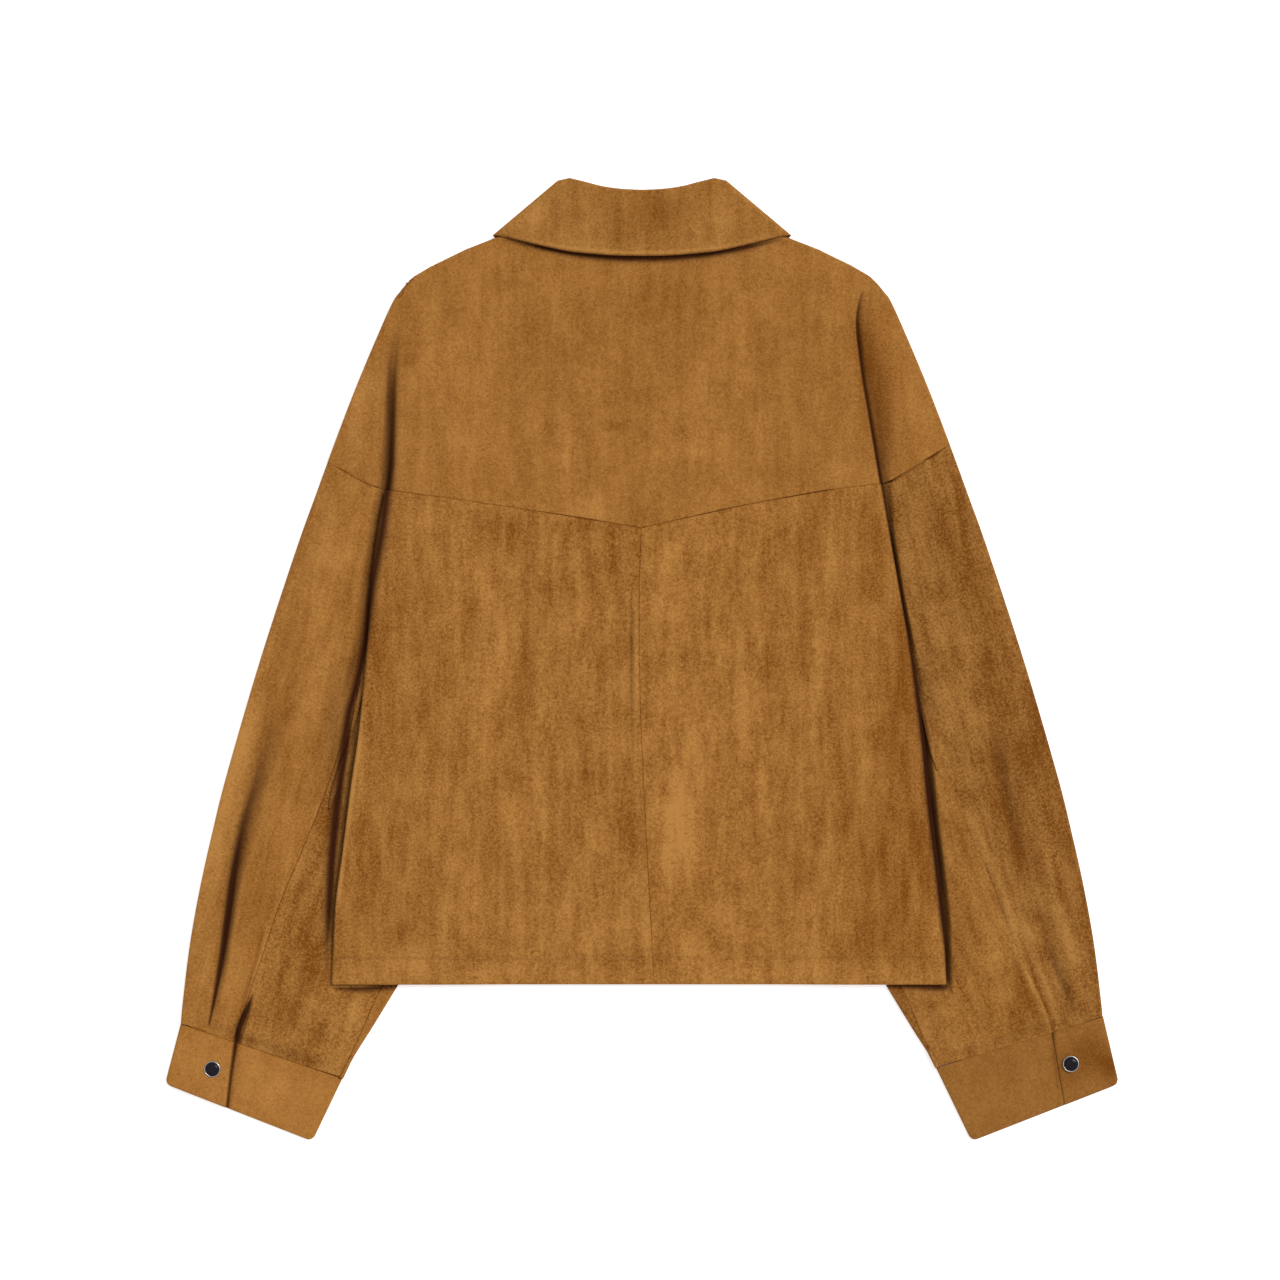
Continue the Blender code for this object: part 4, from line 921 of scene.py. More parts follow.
# A ridge down the right sleeve, beside its back seam: across, up
ridge = [(247, -117), (262, -148), (273, -176), (285, -217), (295.5, -248), (307, -272.5), (314, -286)]
sleeves = {
    "rows": 186, "seam": (1.0, 0.5), "length": 430, "sinkGain": 1.5,
    "waves": [(0.5, 48, 7.7), (0.2, 15, 2.7)],
    "gather": {"inner": 1.5, "back": 1.15, "pressed": 1.3, "risen": 1.25},         # how close the rows start
    "topBow": 1.2, "topGap": 0.3, "topFade": (0, 0.5),     # the edge to the yoke, and how far down it counts
    "hidden": (24, 4), "tuckedIn": 3.5, "armpitDown": 0.5, # where the back seam and the edges start
    # The front seam: how far from the inner fold at the top and lower down, where it moves out and back
    "frontSeam": (1.8, 7.8), "frontOut": (0.45, 0.78), "frontBack": (0.84, 1), "frontEnd": 0.975,
    # Guides on both sides of the pleat: how far off they start, what they lose, where they meet the cuff
    "pleatSpread": (5.0, 6.0), "pleatNarrows": 2.5, "pleatFoot": (0.44, 0.5, 0.56),
    "foldOpens": (-0.3, 0.05), "straightRows": 6,
    "topColumns": ["rollIn", 7, 9, 8, 8, 7, 14], "sliverColumns": [3, "rollOut"],
    "underColumns": ["rollIn", 12, 12, 9, 9, "rollOut"],
    # Two guides across the underside: from the armhole by these points to these shares of the cuff
    "below": {"out": (30, 10), "outer": (300, -150), "inner": [(235, -60), (262, -180)],
              "ends": (0.33, 0.67), "columns": [4, 4, 4]},
    # Guides of the under piece, one in the valley beside the body and one past its slope
    "valleyUps": [-20, -60, -110, -160, -210], "hemClear": 5, "bodyClear": 1,
    "pressedIn": 6, "risenIn": 2.5, "pressed": (0.4, 0.8), "risen": (0.7, 0.66), "slitNear": 7,
    "slitRun": (253, 272), "slitSink": 0.5, "slitInner": 0.9, "slitSoft": 2.5,
    # How dark the seams are: to the yoke, down the back of the arm, to the cuff, along the front fold
    "seamDark": {"left": (0.4, 0.8, 0.5, 0.6), "right": (0.6, 0.08, 0.15, 0.5)},
    "creases": {
        "left": [
            (0.9, 2.4, [(212, 128), (216, 96), (222, 60)]), (0.6, 10, [(240, 90), (252, 40), (262, -10)]),
            (0.7, 1.4, [(289, -205), (292, -222), (306, -271)]),
            (-0.6, 2.5, [(285, -205), (288, -222), (302, -268)]),
            (0.5, 5, [(243, -100), (256, -150), (270, -200)]),
            (0.6, 9, [(262, -225), (268, -260), (262, -290)]),
            (0.5, 8, [(240, -240), (245, -270), (247, -300)]),
        ],
        "right": [
            (1.2, 3.0, [(343, -205), (338, -240), (332.9, -272)]),
            (1.0, 3.0, [(318, -225), (320, -250), (317.7, -284)]),
            (0.8, 9.0, [(231, 112), (258.4, 16), (270, -60)]),
            (1.0, 1.5, [(332.6, -256.0), (331.0, -274.0)]), (1.0, 1.5, [(327.6, -262.0), (326.0, -278.0)]),
            (-0.7, 3.0, [(207, 85), (214, 55), (232, 20)]),
            (1.4, 8.0, [(266, -55), (276, -103), (285, -138), (293, -162)]),
            (-0.8, 2.2, ridge),
            (0.6, 2.0, [(256, -150), (267, -178), (279, -218), (289, -250), (301, -278)]),
            (0.5, 2.0, [(281, -185), (292, -215), (302, -245), (314, -274)]),
            (-0.5, 2.0, [(296, -222), (306, -248), (320, -276)]),
            (1.0, 6.0, [(299, -176), (309, -205), (318, -231)]), (-0.6, 5.0, [(304, -170), (316, -196)]),
            (0.7, 3.0, [(312, -225), (322, -250), (329, -270)]), (0.5, 4.0, [(262, -150), (276, -166)]),
            (-0.6, 4.0, [(284, -203), (300, -217)]),
        ],
    },
    "napAndPaintedLight": {
        "left": [
            (0.16, 12, [(-226, 100), (-250, 20)]), (0.14, 10, [(-240, 20), (-262, -90)]),
            (-0.14, 9, [(-262, 20), (-283, -66)]), (0.12, 9, [(-300, -90), (-322, -170)]),
            (-0.10, 12, [(-244, -60), (-262, -130)]), (0.12, 14, [(-232, 130), (-250, 60)]),
            # Painted shade in the groove of a fold, then a painted highlight on the ridge beside it
            (-0.30, 1.3, [(-289, -205), (-292, -222), (-306, -271)]),
            (0.25, 1.8, [(-285.5, -205), (-288.5, -222), (-302, -268)]),
            (0.26, 13, [(-300, -20), (-318, -90), (-335, -170)]),
            (0.32, 9, [(-287, 10), (-309, -70), (-328, -140), (-338, -185)]),
            (-0.14, 14, [(-283, -130), (-298, -190), (-306, -235)]),
            (0.12, 9, [(-306, -200), (-316, -262)]), (0.10, 8, [(-336, -190), (-341, -250)]),
            (-0.1, 12, [(-215, 60), (-219, 10)]),
        ],
        "right": [
            # Strokes that follow the creases are painted light: lighter ones are highlights on ridges, darker
            # ones shade in grooves; the others are tone of the suede
            (-0.20, 20, [(240, 110), (262, 50)]), (0.22, 7, [(206, 90), (214, 50), (234, 16)]),
            (-0.16, 16, [(300, -10), (312, -80)]), (-0.16, 22, [(275, 30), (292, -60)]),
            (-0.42, 9, [(266, -55), (276, -103), (285, -138), (293, -162)]),
            (0.48, 3.4, ridge),
            (0.40, 3.0, [(294, -218), (304, -246), (318, -280)]),
            (-0.35, 2.6, [(290, -215), (300, -246), (312, -277)]),
            (-0.30, 5, [(258, -155), (268, -182), (280, -222), (290, -252)]),
            (-0.22, 7, [(302, -186), (310, -207), (318, -233)]), (0.30, 7, [(258, -148), (278, -162)]),
            (0.40, 7, [(286, -203), (300, -215)]), (0.30, 8, [(304, -179), (318, -197)]),
            (0.24, 7, [(321, -203), (330, -232)]), (-0.35, 7, [(290, -250), (301, -280)]),
            (-0.25, 4, [(322, -245), (325, -272)]), (-0.15, 22, [(318, -100), (330, -160)]),
            (0.18, 6, [(336, -248), (344, -272)]), (-0.18, 7, [(334, -190), (339, -225)]),
            (-0.30, 6, [(282, -230), (294, -264)]), (-0.25, 9, [(332, -255), (345, -270)]),
            (-0.30, 9, [(208, -256), (226, -270)]), (-0.15, 12, [(254, -15), (260, -45)]),
            (-0.15, 12, [(222, 120), (236, 80)]), (0.14, 12, [(214, 20), (228, -60), (240, -120)]),
            (-0.20, 6, [(296, -20), (314, -85), (330, -150), (343, -215)]),
            (-0.30, 8, [(264, -100), (272, -128)]), (-0.25, 7, [(315, -150), (321, -172)]),
            (-0.35, 8, [(235, -56), (241, -84)]), (-0.12, 8, [(282, -136), (290, -166)]),
            (0.35, 8, [(304, -126), (315, -166)]), (0.12, 14, [(240, 10), (256, -70)]),
            (-0.16, 10, [(290, -60), (300, -110)]), (-0.14, 7, [(250, 60), (262, 20)]),
        ],
    },
    "underNapAndPaintedLight": {
        "left": [(-0.16, 24, [(-262, -170), (-250, -215)]), (-0.35, 9, [(-240, -110), (-243, -138)]),
                 (-0.35, 10, [(-248, -220), (-250, -252)]), (0.30, 10, [(-222, -258), (-215, -275)]),
                 (0.14, 14, [(-240, -262), (-225, -300)]), (-0.14, 12, [(-270, -240), (-276, -275)]),
                 (0.10, 10, [(-248, -100), (-265, -150)])],
        "right": [(-0.12, 12, [(240, -120), (252, -170)]), (-0.14, 16, [(248, -196), (252, -236)]),
                  (0.22, 12, [(262, -210), (276, -240)]), (-0.36, 10, [(291, -250), (303, -284)]),
                  (0.20, 14, [(226, -262), (240, -298)]), (-0.12, 12, [(262, -262), (270, -290)]),
                  (-0.30, 6, [(282, -230), (294, -264)]), (-0.30, 9, [(208, -256), (226, -270)]),
                  (0.12, 12, [(262, -240), (276, -276)]),
                  # Painted highlight on the ridge beside the back seam
                  (0.48, 3.4, ridge)],
    },
}


def foldColumns(curve, outward, radius, angles=(90, 67.5, 45, 22.5, 0, -22.5, -45, -67.5, -90)):
    # Columns round a folded edge, from its top to its underside, just inside the given curve
    radius = np.broadcast_to(radius, len(curve))
    columns = []
    for turn in np.radians(angles):
        flat = beside(curve, -outward * radius * (1 - math.cos(turn)))
        columns.append(np.column_stack([flat, radius * (1 + math.sin(turn))]))
    return columns


def makeSleeves():
    seam, hem, gather = body["seam"], body["hem"], sleeves["gather"]
    roll, sink = sleeves["seam"]
    near, count = roll / sleeves["length"], sleeves["rows"]
    evenly = np.linspace(near, 1 - near, count)
    shares = np.concatenate([roundStops * near, evenly, 1 - roundStops[::-1] * near])
    atTop = np.concatenate([roundDrops, np.zeros(count + len(roundDrops))])
    for name, side in sides.items():
        sign = side["sign"]
        cuffOuter, cuffInner = [np.array(point) for point in side["cuffTop"]]
        seamUp = side["armSeamUp"]
        corner = side["yokeCorner"]
        flap = side["flap"][0]

        def onCuff(share, lift=2 * seam):
            across, up = cuffOuter + (cuffInner - cuffOuter) * share
            return across, up + lift

        def topEdge(across):
            start = (float(acrossAt(outlineCurve, seamUp)), seamUp)
            share = (start[0] - across) / (start[0] - corner[0])
            bow = sleeves["topBow"] * share * (1 - share)
            return across, start[1] + (corner[1] - start[1]) * share - 2 * seam - bow

        # Guides down the upper piece
        footOut, footMiddle, footIn = sleeves["pleatFoot"]
        outer = spaced(stretch(outlineCurve, seamUp - 2 * seam, cuffOuter[1] + 2 * seam), shares)
        inner = stretch(side["innerFold"], body["armpit"] - sleeves["armpitDown"], cuffInner[1] + 2 * seam)
        inner = spaced(inner, shares ** gather["inner"])
        pleat = [topEdge(side["pleat"][0][0])] + side["pleat"][1:-1] + [onCuff(flap * footMiddle)]
        pleat = spaced(smoothCurve(pleat), shares)
        hiddenUp, hiddenIn = sleeves["hidden"]
        hidden = (float(acrossAt(side["bodyCurve"], hiddenUp)) - hiddenIn, hiddenUp)
        backSeam = smoothCurve([hidden] + side["backSeam"] + [onCuff(flap)])
        backSeam = spaced(backSeam, shares ** gather["back"])
        fading = (1 - ease(shares, *sleeves["topFade"]))[:, None]
        tucked = side["bodyEdge"][0][0] - sleeves["tuckedIn"]
        gap = sleeves["topGap"]
        nearBody, halfWay = (backSeam * 3 + pleat) / 4, (backSeam * 2 + pleat * 3) / 5
        tuckedUp = float(seamY(sign * tucked)) - 2 * seam - gap
        nearBody += fading * (np.array([tucked, tuckedUp]) - nearBody[0])
        halfWay += fading * (np.array([corner[0], corner[1] - 2 * seam - gap]) - halfWay[0])
        least, most = sleeves["frontSeam"]
        wide = least + most * ease(shares, *sleeves["frontOut"]) * (1 - ease(shares, *sleeves["frontBack"]))
        frontSeam = beside(inner, wide)
        frontSeam[-1] = onCuff(sleeves["frontEnd"])
        outward, inward = sleeves["pleatSpread"]
        narrows = sleeves["pleatNarrows"] * shares
        pleatOut, pleatIn = beside(pleat, outward - narrows), beside(pleat, narrows - inward)
        pleatOut[0], pleatIn[0] = topEdge(pleat[0][0] + outward), topEdge(pleat[0][0] - inward)
        pleatOut[-1], pleatIn[-1] = onCuff(flap * footOut), onCuff(flap * footIn)
        outerColumns = foldColumns(outer, 1, body["outerFold"] * ease(shares, *sleeves["foldOpens"]))
        innerColumns = foldColumns(inner, -1, body["underFold"])[::-1]
        tail = -sleeves["straightRows"]
        run = (shares[tail:] - shares[tail]) / (shares[-1] - shares[tail])
        for fold in outerColumns + innerColumns:          # the last rows run straight to the cuff
            fold[tail:] = fold[tail] + (fold[-1] - fold[tail]) * run[:, None]
        outerTop, outerUnder = outerColumns[0][:, :2], outerColumns[-1][:, :2]
        innerUnder, innerTop = innerColumns[0][:, :2], innerColumns[-1][:, :2]
        creases = sleeves["creases"][name]
        toYoke, downArm, toCuff, alongFront = sleeves["seamDark"][name]

        def onTop(guides, spans, firstDark, lastDark):
            columns, sideLow = layColumns(guides, spans)
            first = np.arange(len(sideLow)) < len(sideLow) / 2
            dark = np.maximum((sideLow * np.where(first, firstDark, lastDark))[:, None],
                              (atTop * toYoke + atTop[::-1] * toCuff)[None, :])
            drops = np.minimum(dark * sleeves["sinkGain"], 1) * sink

            def height(x, y):
                return uneven(sleeveHeight(side, x, y) - strokes(creases, x, y), x, y, sleeves["waves"], sign)

            return lay(columns, height, drops, dark)

        # The upper piece: top, outer fold, underside, inner fold and the sliver up to the front seam
        top = onTop([beside(backSeam, seam), beside(backSeam, seam + roll), nearBody, halfWay, pleatIn, pleat,
                     pleatOut, outerTop], sleeves["topColumns"], downArm, 0.0)
        armhole, below = side["armhole"], sleeves["below"]
        outerWay = [armhole[0], (armhole[0][0] + below["out"][0], below["out"][1]), below["outer"],
                    onCuff(below["ends"][0])]
        innerWay = [armhole[1]] + below["inner"] + [onCuff(below["ends"][1])]
        underside = [outerUnder, spaced(smoothCurve(outerWay), shares),
                     spaced(smoothCurve(innerWay), shares ** gather["back"]), innerUnder]
        bottom, _ = layColumns(underside, below["columns"])
        bottom = np.dstack([bottom, np.zeros(bottom.shape[:2])])
        sliver = onTop([innerTop, beside(frontSeam, -seam - roll), beside(frontSeam, -seam)],
                       sleeves["sliverColumns"], 0.0, alongFront)
        parts = [top[:-1], outerColumns, bottom[1:-1], innerColumns, sliver[1:]]
        points = np.concatenate([withSeam(part) for part in parts])
        points[..., 0] *= sign
        piece = cloth(f"upper_sleeve_{name}_cloth", points, f"upper_sleeve_{name}",
                      napAndPaintedLight=sleeves["napAndPaintedLight"][name], dark=paintedShadows[name], flip=sign < 0)
        finish(piece, materials["sleeve" + name.capitalize()])

        # The under piece, between the two seams
        def between(share):
            return tuple(frontSeam[0] + (backSeam[0] - frontSeam[0]) * share)

        pressed, risen = [], []
        for up in sleeves["valleyUps"] + [hem + sleeves["hemClear"]]:
            edge = float(acrossAt(side["bodyCurve"], up)) + sleeves["bodyClear"]
            end = float(acrossAt(backSeam, up))
            pressed.append((min(edge, end - sleeves["pressedIn"]), up))
            pastSlope = edge + sum(valleyAt(side, up))
            risen.append((min(pastSlope, (edge + 2 * end) / 3, end - sleeves["risenIn"]), up))

        def guide(which, points):
            start, end = sleeves[which]
            return spaced(smoothCurve([between(start)] + points + [onCuff(end)]), shares ** gather[which])

        slitEdge = beside(backSeam, -seam)
        under = onTop([beside(frontSeam, seam), beside(frontSeam, seam + roll), guide("pressed", pressed),
                       guide("risen", risen), beside(slitEdge, -sleeves["slitNear"]), beside(slitEdge, -roll),
                       slitEdge], sleeves["underColumns"], alongFront, downArm)
        inside = acrossAt(backSeam, under[..., 1]) - under[..., 0]
        opened = side["slit"] * ease(-under[..., 1], *sleeves["slitRun"])
        rim = opened * sleeves["slitInner"]
        under[..., 2] -= sleeves["slitSink"] * opened * (1 - ease(inside, rim, rim + sleeves["slitSoft"]))
        under[..., 0] *= sign
        piece = cloth(f"under_sleeve_{name}_cloth", under, f"under_sleeve_{name}",
                      napAndPaintedLight=sleeves["underNapAndPaintedLight"][name], dark=paintedShadows[name], flip=sign < 0)
        finish(piece, materials["under" + name.capitalize()])


makeSleeves()
print("sleeves laid")


# Cuffs: a band folded flat, whose outer end laps over the inner end

cuffs = {
    "corner": 4.5, "roll": 1.5, "seam": (1.0, 0.45), "rows": 26,
    "foldTurns": 9, "bottomSteps": 9, "topSteps": 17,
    # Columns of the under end, measured from the end of the flap over it
    "under": [-28, -18, -8, -3.5, -2, -1, 0, 0.7, 1.4, 2.2, 3.0, 4.0, 5.5, 8, 12, 17, 23, 30, 37, 44],
    "underRoom": 8,
    "gap": {"left": 1.2, "right": 0.3}, "gapRun": (-4, -1, 1.5, 5),        # how far it sinks there, and where
    # The flap: how much it bows up, and how its end rolls down, in shares of its width and millimetres
    "bow": 0.4, "endWidth": 1.2, "endRoll": [(0.35, 0.15), (0.7, 0.5), (1.0, 1.1)],
    "napAndPaintedLight": {
        "left": [(0.10, 12, [(-345, -292), (-330, -300)]), (0.12, 14, [(-290, -320), (-270, -335)]),
                 (0.08, 30, [(-340, -310), (-250, -340)])],
        "right": [(-0.34, 14, [(330, -286), (350, -312)]), (-0.22, 10, [(316, -300), (330, -325)]),
                  (0.12, 12, [(345, -330), (352, -345)]), (-0.10, 12, [(290, -306), (270, -318)]),
                  (-0.4, 10, [(356, -300), (360, -318)])],
    },
}


def makeCuffs():
    lowTop = body["cuffLow"]
    for name, side in sides.items():
        sign = side["sign"]
        flapTop = lowTop + side["lap"]
        toCuff = sleeves["seamDark"][name][2]
        outerTop, innerTop = [np.array(point) for point in side["cuffTop"]]
        outerEnd, innerEnd = [np.array(point) for point in side["cuffBottom"]]
        height = np.linalg.norm((outerEnd + innerEnd - outerTop - innerTop) / 2)
        top, foot = cuffs["seam"][0] / height, cuffs["roll"] / height
        levels = np.concatenate([roundStops * top, np.linspace(top, 1 - foot, cuffs["rows"]),
                                 1 - roundStops[::-1] * foot])
        low = np.concatenate([roundDrops * cuffs["seam"][1], np.zeros(cuffs["rows"]),
                              roundDrops[::-1] * cuffs["roll"]])
        dark = np.concatenate([roundDrops * toCuff, np.zeros(cuffs["rows"] + len(roundDrops))])
        columns = []

        def add(measure, high):
            column = []
            for level, drop in zip(levels, low):
                start = outerTop + (outerEnd - outerTop) * level
                end = innerTop + (innerEnd - innerTop) * level
                width = np.linalg.norm(end - start)
                left = max(0.0, cuffs["corner"] - (1 - level) * height)   # how far into the rounded corner
                pull = cuffs["corner"] - math.sqrt(cuffs["corner"] ** 2 - left ** 2)
                across, up = start + (end - start) * measure(level, width, pull) / width
                column.append((across, up, high - drop * high / flapTop))
            columns.append(column)

        def flapEnd(level, width):
            return (side["flap"][0] + (side["flap"][1] - side["flap"][0]) * level) * width

        def fold(atOuter, high):
            radius = high / 2
            for turn in np.radians(np.linspace(-90, 90, cuffs["foldTurns"])):
                inset = radius * (1 - math.cos(turn))
                lift = radius * (1 + math.sin(turn))
                if atOuter:
                    add(lambda level, width, pull: pull + inset, lift)
                else:
                    add(lambda level, width, pull: width - pull - inset, high - lift)

        widest = cuffs["under"][-1] + cuffs["underRoom"]
        sinkFrom, sunk, rising, risen = cuffs["gapRun"]
        for beyond in cuffs["under"]:
            inGap = float(ease(beyond, sinkFrom, sunk) * (1 - ease(beyond, rising, risen)))

            def underEnd(level, width, pull):
                room = width - pull - lowTop / 2 - flapEnd(level, width)
                return flapEnd(level, width) + beyond * (1 if beyond < 0 else room / widest)

            add(underEnd, lowTop - cuffs["gap"][name] * inGap)
        fold(False, lowTop)
        for share in np.linspace(0, 1, cuffs["bottomSteps"] + 1)[1:-1]:
            add(lambda level, width, pull: width * (1 - share), 0.0)
        fold(True, flapTop)
        end = cuffs["endWidth"]
        for share in np.linspace(0, 1, cuffs["topSteps"] + 1)[1:]:
            add(lambda level, width, pull: ((flapEnd(level, width) - end) * share
                                            + (1 - share) * (pull + flapTop / 2)),
                flapTop + cuffs["bow"] * math.sin(math.pi * share))
        for stop, drop in cuffs["endRoll"]:
            add(lambda level, width, pull: flapEnd(level, width) - end * (1 - stop), flapTop - drop)
        points = withSeam(columns, dark[None, :])
        points[..., 0] *= sign
        piece = cloth(f"cuff_{name}_cloth", points, f"cuff_{name}", napAndPaintedLight=cuffs["napAndPaintedLight"][name],
                      dark=paintedShadows["cuff" + name.capitalize()], flip=sign > 0)
        finish(piece, materials["cuff" + name.capitalize()])


makeCuffs()
print("cuffs laid")


# Collar: the fall rolls over the stand and round the sides of the neck to the front

collar = {
    "fallBack": [(0.0, 356.8, 0.0, 306.4), (16.0, 357.6, 19.0, 306.7), (30.1, 359.6, 38.0, 308.0),
                 (42.0, 362.6, 62.0, 311.0), (55.0, 366.0, 104.0, 321.0)],
    "fallSide": (64.2, 364.2, 113.6, 322.6),
    "fallFront": [(57.0, 358.0, 106.0, 316.0), (51.0, 339.0, 101.5, 290.0), (43.0, 320.0, 92.0, 264.0),
                  (34.0, 305.0, 80.0, 243.0), (22.0, 294.0, 66.0, 226.0)],
    "standDown": 1.0,
    "standBack": [(0.0, 319.5, 0.0, 352.2), (35.0, 322.0, 27.0, 354.2), (62.0, 328.3, 46.0, 358.0)],
    "standSide": (80.2, 335.2, 59.0, 360.4),
    "standFront": [(76.4, 315.2, 52.0, 338.0), (68.4, 294.4, 43.0, 320.0), (52.9, 276.1, 33.0, 306.0),
                   (28.0, 260.9, 18.0, 294.0), (1.5, 256.3, 1.5, 288.0)],
    "rolls": (0.05, 0.045), "sinks": (2.6, 2.3), "rows": 40,  # how its two long edges roll down
    "steps": (40, 11, 24), "standRows": 12,                # columns on the back, round the fold, in front
    "dimple": (0.25, 0.9, 0.014), "backFrom": 4.0,         # a line of stitching near the lower edge
    "lift": 2.4, "liftRun": (3, 22), "topFrom": 5, "waves": [(0.6, 30, 5.2)],
    "napAndPaintedLight": [(0.35, 11, [(34, 325), (46, 323)]), (0.28, 13, [(-100, 326), (-72, 345)]),
            (-0.28, 8, [(-48, 346), (-46, 330)]), (-0.22, 14, [(14, 352), (22, 326)]),
            (0.14, 12, [(-42, 345), (-44, 325)]), (0.12, 10, [(58, 342), (66, 326)]),
            (-0.10, 14, [(-12, 348), (-10, 322)]), (0.12, 5, [(-70, 318), (0, 310.5), (70, 318)]),
            # Painted highlight: a light rim along the collar's rolled lower edge
            (0.55, 1.3, [(-98, 321.2), (-60, 312.9), (0, 308.4), (60, 312.9), (98, 321.2)])],
}


def turnedIn(foldLine, neighbour, radius):
    foldLine, neighbour = np.array(foldLine), np.array(neighbour)
    line = foldLine[2:] - foldLine[:2]
    inward = np.array([line[1], -line[0]]) / np.linalg.norm(line)
    inward = -inward if inward[0] > 0 else inward
    ends = []
    for end in (slice(0, 2), slice(2, 4)):
        way = neighbour[end] - foldLine[end]
        ends.append(foldLine[end] + way * radius / way.dot(inward))
    return np.concatenate(ends)


def collarColumns(back, sideFold, front, top, bottom, shares):
    radius = (top - bottom) / 2
    onBack, atFold, inFront = collar["steps"]
    lines = [np.append(row, top) for row in spaced(smoothCurve(back, 6), np.linspace(0, 1, onBack))]
    for angle in np.linspace(90, -90, atFold):
        turn = math.radians(angle)
        inner = turnedIn(sideFold, back[-1] if angle > 0 else front[0], radius)
        ends = np.array(sideFold) + (inner - sideFold) * (1 - math.cos(turn))
        lines.append(np.append(ends, bottom + radius * (1 + math.sin(turn))))
    lines += [np.append(row, bottom) for row in spaced(smoothCurve(front, 6), np.linspace(0, 1, inFront))]
    return np.array([[(x1 + (x2 - x1) * share, y1 + (y2 - y1) * share, z) for share in shares]
                     for x1, y1, x2, y2, z in lines])


def makeCollar():
    start, end = collar["rolls"]
    count = collar["rows"]
    evenly = np.linspace(start, 1 - end, count)
    shares = np.concatenate([roundStops * start, evenly, 1 - roundStops[::-1] * end])
    half = collarColumns(collar["fallBack"], collar["fallSide"], collar["fallFront"], body["fallTop"], 0.0,
                         shares)
    backFrom = collar["backFrom"]
    onBack = np.clip((half[..., 2] - backFrom) / (body["fallTop"] - backFrom), 0, 1)
    atNeck, atEdge = collar["sinks"]
    low = np.concatenate([roundDrops * atNeck, np.zeros(count), roundDrops[::-1] * atEdge])
    deep, place, wide = collar["dimple"]
    dimple = deep * np.exp(-((shares - place) / wide) ** 2)
    half[..., 2] -= (low + dimple)[None, :] * onBack
    whole = np.concatenate([half[:0:-1] * (-1, 1, 1), half])
    x, y, z = whole.reshape(-1, 3).T
    foldLine = [collar["fallSide"][:2], collar["fallSide"][2:]]
    inside = ease(distanceTo(foldLine, np.abs(x), y)[0], *collar["liftRun"]) * (z > collar["topFrom"])
    z += inside * uneven(collar["lift"], x, y, collar["waves"])
    points = np.dstack([part.reshape(whole.shape[:2]) for part in (x, y, z)])
    piece = cloth("collar_fall_cloth", points, "collar_fall", napAndPaintedLight=collar["napAndPaintedLight"])
    finish(piece, materials["collar"])
    half = collarColumns(collar["standBack"], collar["standSide"], collar["standFront"],
                         body["middle"] - collar["standDown"], body["layer"],
                         np.linspace(0, 1, collar["standRows"]))
    half = half[:, ::-1]
    whole = np.concatenate([half[:0:-1] * (-1, 1, 1), half])
    piece = cloth("collar_stand_cloth", whole, "collar_stand")
    finish(piece, materials["stand"])


makeCollar()
print("collar laid")


# Stitches: along the hem, and a bar at the top of each cuff's opening

stitches = {
    "pitch": 3.6, "long": 2.5, "wide": 0.55, "high": 0.45, "inset": 5.0, "fromCentre": 1.5,
    "waver": 0.12, "lean": 0.03, "barTurns": 6, "barLong": 2.2, "barLean": 0.25, "barLift": 0.15,
    "bars": {"left": [(317.6, -289.2), (312.2, -291.0)], "right": [(320.4, -285.4), (315.4, -286.9)]},
}


def addStitch(shape, spot, way, length):
    verts = bmesh.ops.create_uvsphere(shape, u_segments=8, v_segments=6, radius=0.5 * mm)["verts"]
    bmesh.ops.scale(shape, verts=verts, vec=(length, stitches["wide"], stitches["high"]))
    turn = Matrix.Rotation(math.atan2(way[1], way[0]), 3, "Z")
    bmesh.ops.rotate(shape, verts=verts, cent=(0, 0, 0), matrix=turn)
    bmesh.ops.translate(shape, verts=verts, vec=Vector(spot) * mm)


def sewn(name, runs):                    # runs of (x, y, z, way, length)
    shape = bmesh.new()
    for x, y, z, way, length in runs:
        addStitch(shape, (x, y, z), way, length)
    mesh = meshOf(name, shape)
    mesh.shade_smooth()
    piece = placed(name, mesh)
    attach(piece, "root")
    finish(piece, materials["thread"])


def makeStitches():
    length, waver, lean = stitches["long"], stitches["waver"], stitches["lean"]
    for name, side in sides.items():
        sign, up = side["sign"], back["stitchUp"]
        centre = float(np.interp(-up, [-y for _, y in centreSeam], [x for x, _ in centreSeam])) * sign
        outer = float(acrossAt(side["bodyCurve"], up)) - stitches["inset"]
        x = np.arange(centre + stitches["fromCentre"], outer, stitches["pitch"]) * sign
        z = backPanelHeight(x, np.full(len(x), up))
        runs = [(a, up + waver * math.sin(7 * a), high, (1, lean * math.sin(3 * a)), length)
                for a, high in zip(x, z)]
        sewn(f"hem_stitches_{name}", runs)
        start, end = [np.array(point) * (sign, 1) for point in stitches["bars"][name]]
        lift = body["cuffLow"] + side["lap"] + stitches["barLift"]
        runs = []
        for turn, share in enumerate(np.linspace(0, 1, stitches["barTurns"])):
            way = (stitches["barLean"] * (-1) ** turn, 1)
            runs.append((*(start + (end - start) * share), lift, way, stitches["barLong"]))
        sewn(f"bar_tack_{name}", runs)


makeStitches()
print("stitches sewn")


# Snaps: a dark enamelled cap in a metal rim

snaps = {
    "radius": 6.4, "front": 5, "slack": 0.6, "lift": 0.1,
    # Profiles from the middle outwards: share of the radius, height
    "dome": [(0, 2.7), (0.3, 2.62), (0.55, 2.35), (0.74, 1.9), (0.84, 1.35), (0.86, 0.4), (0, 0.4)],
    "ring": [(0.84, 0.0), (0.84, 1.25), (0.88, 1.45), (0.94, 1.3), (0.99, 0.9), (1, 0.4), (1, 0.0),
             (0.84, 0.0)],
}


